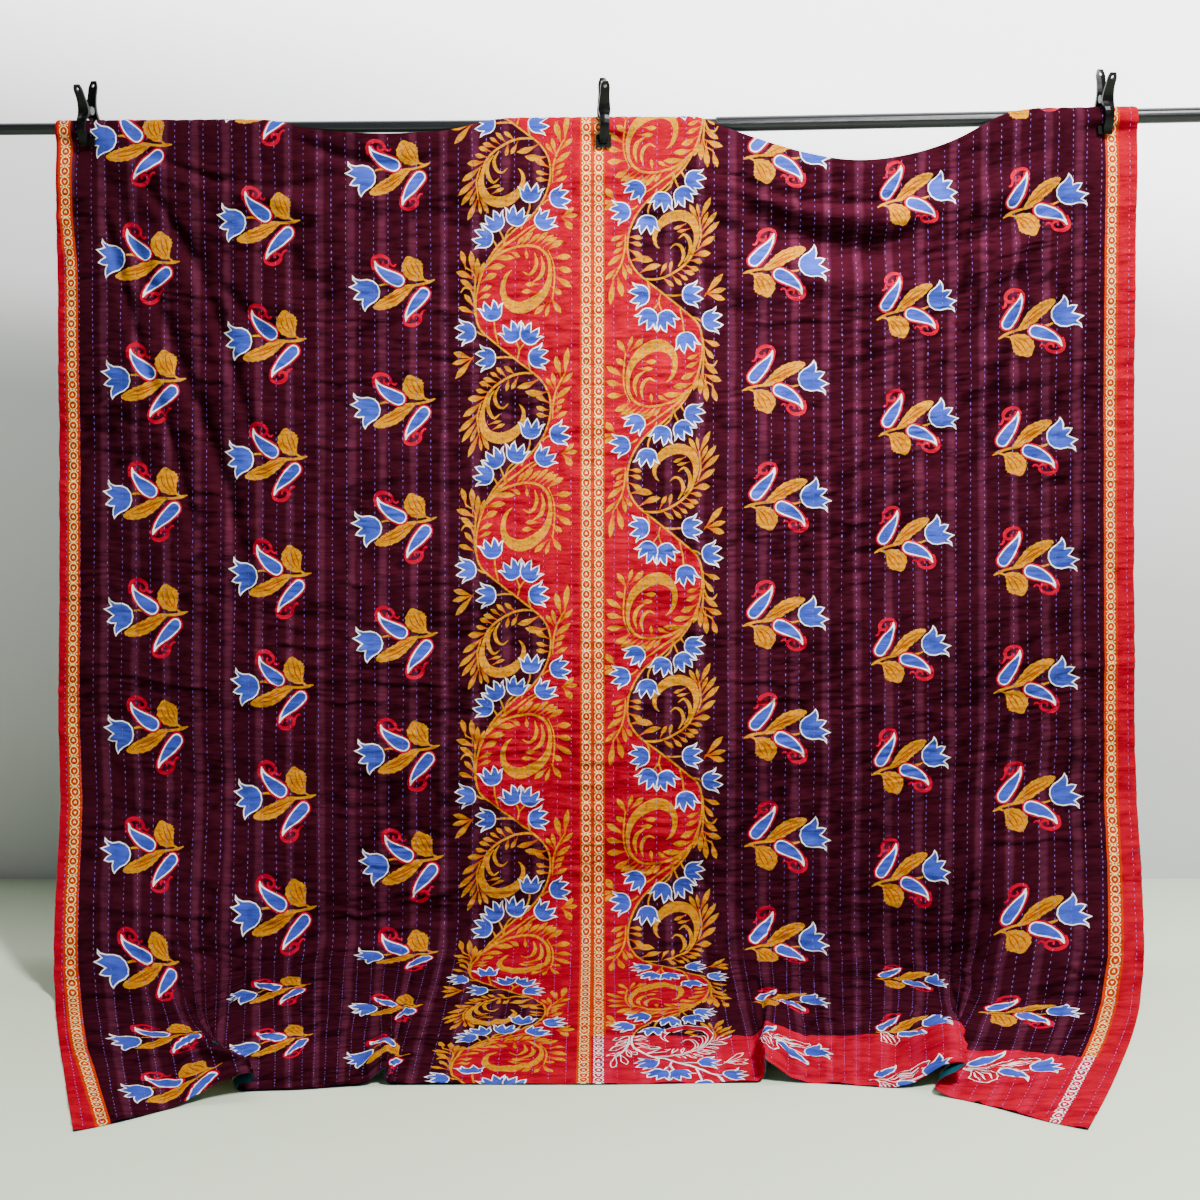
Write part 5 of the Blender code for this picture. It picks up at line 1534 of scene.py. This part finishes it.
# ---------------------------------------------------------------- floor, wall, light and camera
FLOOR_Z = -ROD_HEIGHT
WALL_Y = 0.44
WIDE, HIGH = 9.0, 4.0
WALL_GLOW_FROM, WALL_GLOW_RISE, WALL_GLOW_SLANT = -1.7, 2.0, 0.18
WALL_GLOW = ((0.0, grey(0.0)), (0.45, grey(0.22)), (0.75, grey(0.9)), (0.95, grey(3.2)))


def stage_sheet(name, corners, material):
    mesh = bpy.data.meshes.new(name)
    mesh.from_pydata(corners, [], [(0, 1, 2, 3)])
    mesh.materials.append(material)
    made = bpy.data.objects.new(name, mesh)
    bpy.context.scene.collection.objects.link(made)
    return made


def plain(name, colour, roughness, glow=None):
    """A plain finish, which may glow more from the floor up and then has a front only."""
    made = Nodes(name)
    made.set(Base_Color=colour, Roughness=roughness)
    if glow is not None:
        made.set(Emission_Color=grey(1.0))
        part = made.node("SeparateXYZ", Vector=made.where("Object")).outputs
        height = made.math("ADD", part["Z"], made.math("MULTIPLY", part["X"], WALL_GLOW_SLANT))
        share = made.math("DIVIDE", made.math("SUBTRACT", height, WALL_GLOW_FROM), WALL_GLOW_RISE)
        made.join(made.ramp(share, glow), "Emission Strength")
        one_sided = made.node("MixShader")
        clear = made.node("BsdfTransparent").outputs["BSDF"]
        back = made.node("NewGeometry").outputs["Backfacing"]
        made.feed(one_sided, ((0, back), (1, made.shader.outputs["BSDF"]), (2, clear)))
        made.tree.links.new(one_sided.outputs["Shader"], made.tree.nodes["Material Output"].inputs["Surface"])
    return made.material


stage_sheet(
    "floor",
    [(-WIDE, -WIDE, FLOOR_Z), (WIDE, -WIDE, FLOOR_Z), (WIDE, WALL_Y, FLOOR_Z), (-WIDE, WALL_Y, FLOOR_Z)],
    plain("floor_paint", light(0.70, 0.80, 0.60), 0.75),
)
stage_sheet(
    "wall",
    [(-WIDE, WALL_Y, FLOOR_Z), (WIDE, WALL_Y, FLOOR_Z), (WIDE, WALL_Y, HIGH), (-WIDE, WALL_Y, HIGH)],
    plain("wall_paint", light(0.62, 0.62, 0.63), 0.9, WALL_GLOW),
)

world = bpy.context.scene.world or bpy.data.worlds.new("soft_light")
bpy.context.scene.world = world
world.use_nodes = True
background = world.node_tree.nodes.get("Background")
background.inputs["Color"].default_value = (1.0, 1.0, 1.0, 1.0)
background.inputs["Strength"].default_value = 0.15


def lamp(name, place, target, size, watts, spread_deg=180.0):
    data = bpy.data.lights.new(name, "AREA")
    data.shape = "RECTANGLE"
    data.size, data.size_y = size
    data.energy = watts
    data.spread = math.radians(spread_deg)
    made = bpy.data.objects.new(name, data)
    made.location = place
    made.rotation_mode = "QUATERNION"
    made.rotation_quaternion = (Vector(target) - Vector(place)).to_track_quat("-Z", "Y")
    bpy.context.scene.collection.objects.link(made)


lamp("key", (1.7, -2.2, 2.0), (0.1, -0.1, -0.8), (0.8, 0.7), 285.0)
lamp("fill", (-3.0, -4.6, 0.6), (0.0, -0.2, -0.8), (2.4, 2.0), 14.0)
lamp("middle", (1.2, -2.6, 1.4), (0.20, 0.0, -0.42), (0.6, 0.5), 7.0, 34.0)

CAMERA_DISTANCE = 3.85
CAMERA_Z = -0.356
camera_data = bpy.data.cameras.new("camera")
camera_data.sensor_width = 36.0
camera_data.lens = 36.0 * 1890.0 / 1200.0
camera_data.shift_y = -0.25
camera = bpy.data.objects.new("camera", camera_data)
camera.location = (0.0, -CAMERA_DISTANCE, CAMERA_Z)
camera.rotation_euler = (math.pi / 2, 0.0, 0.0)
bpy.context.scene.collection.objects.link(camera)
bpy.context.scene.camera = camera

# ---------------------------------------------------------------- sizes
for name, piece in pieces.items():
    if name.startswith("quilt_front"):
        ends = {
            "scroll": (0.0, scroll_edge),
            "field": (scroll_edge, field_edge),
            "edge": (field_edge, CLOTH_HALF_WIDTH),
        }[name.rsplit("_", 1)[1]]
        side = -1 if "_left_" in name else 1
        u = np.linspace(*ends, 60) * side
        longest = float((CLOTH.bottom(u) - CLOTH.top(u)).max())
    elif name.startswith("quilt_back"):
        side = -1 if name.endswith("left") else 1
        u = np.linspace(0.0, CLOTH_HALF_WIDTH, 200) * side
        lengths = CLOTH.bottom(u) - CLOTH.top(u)
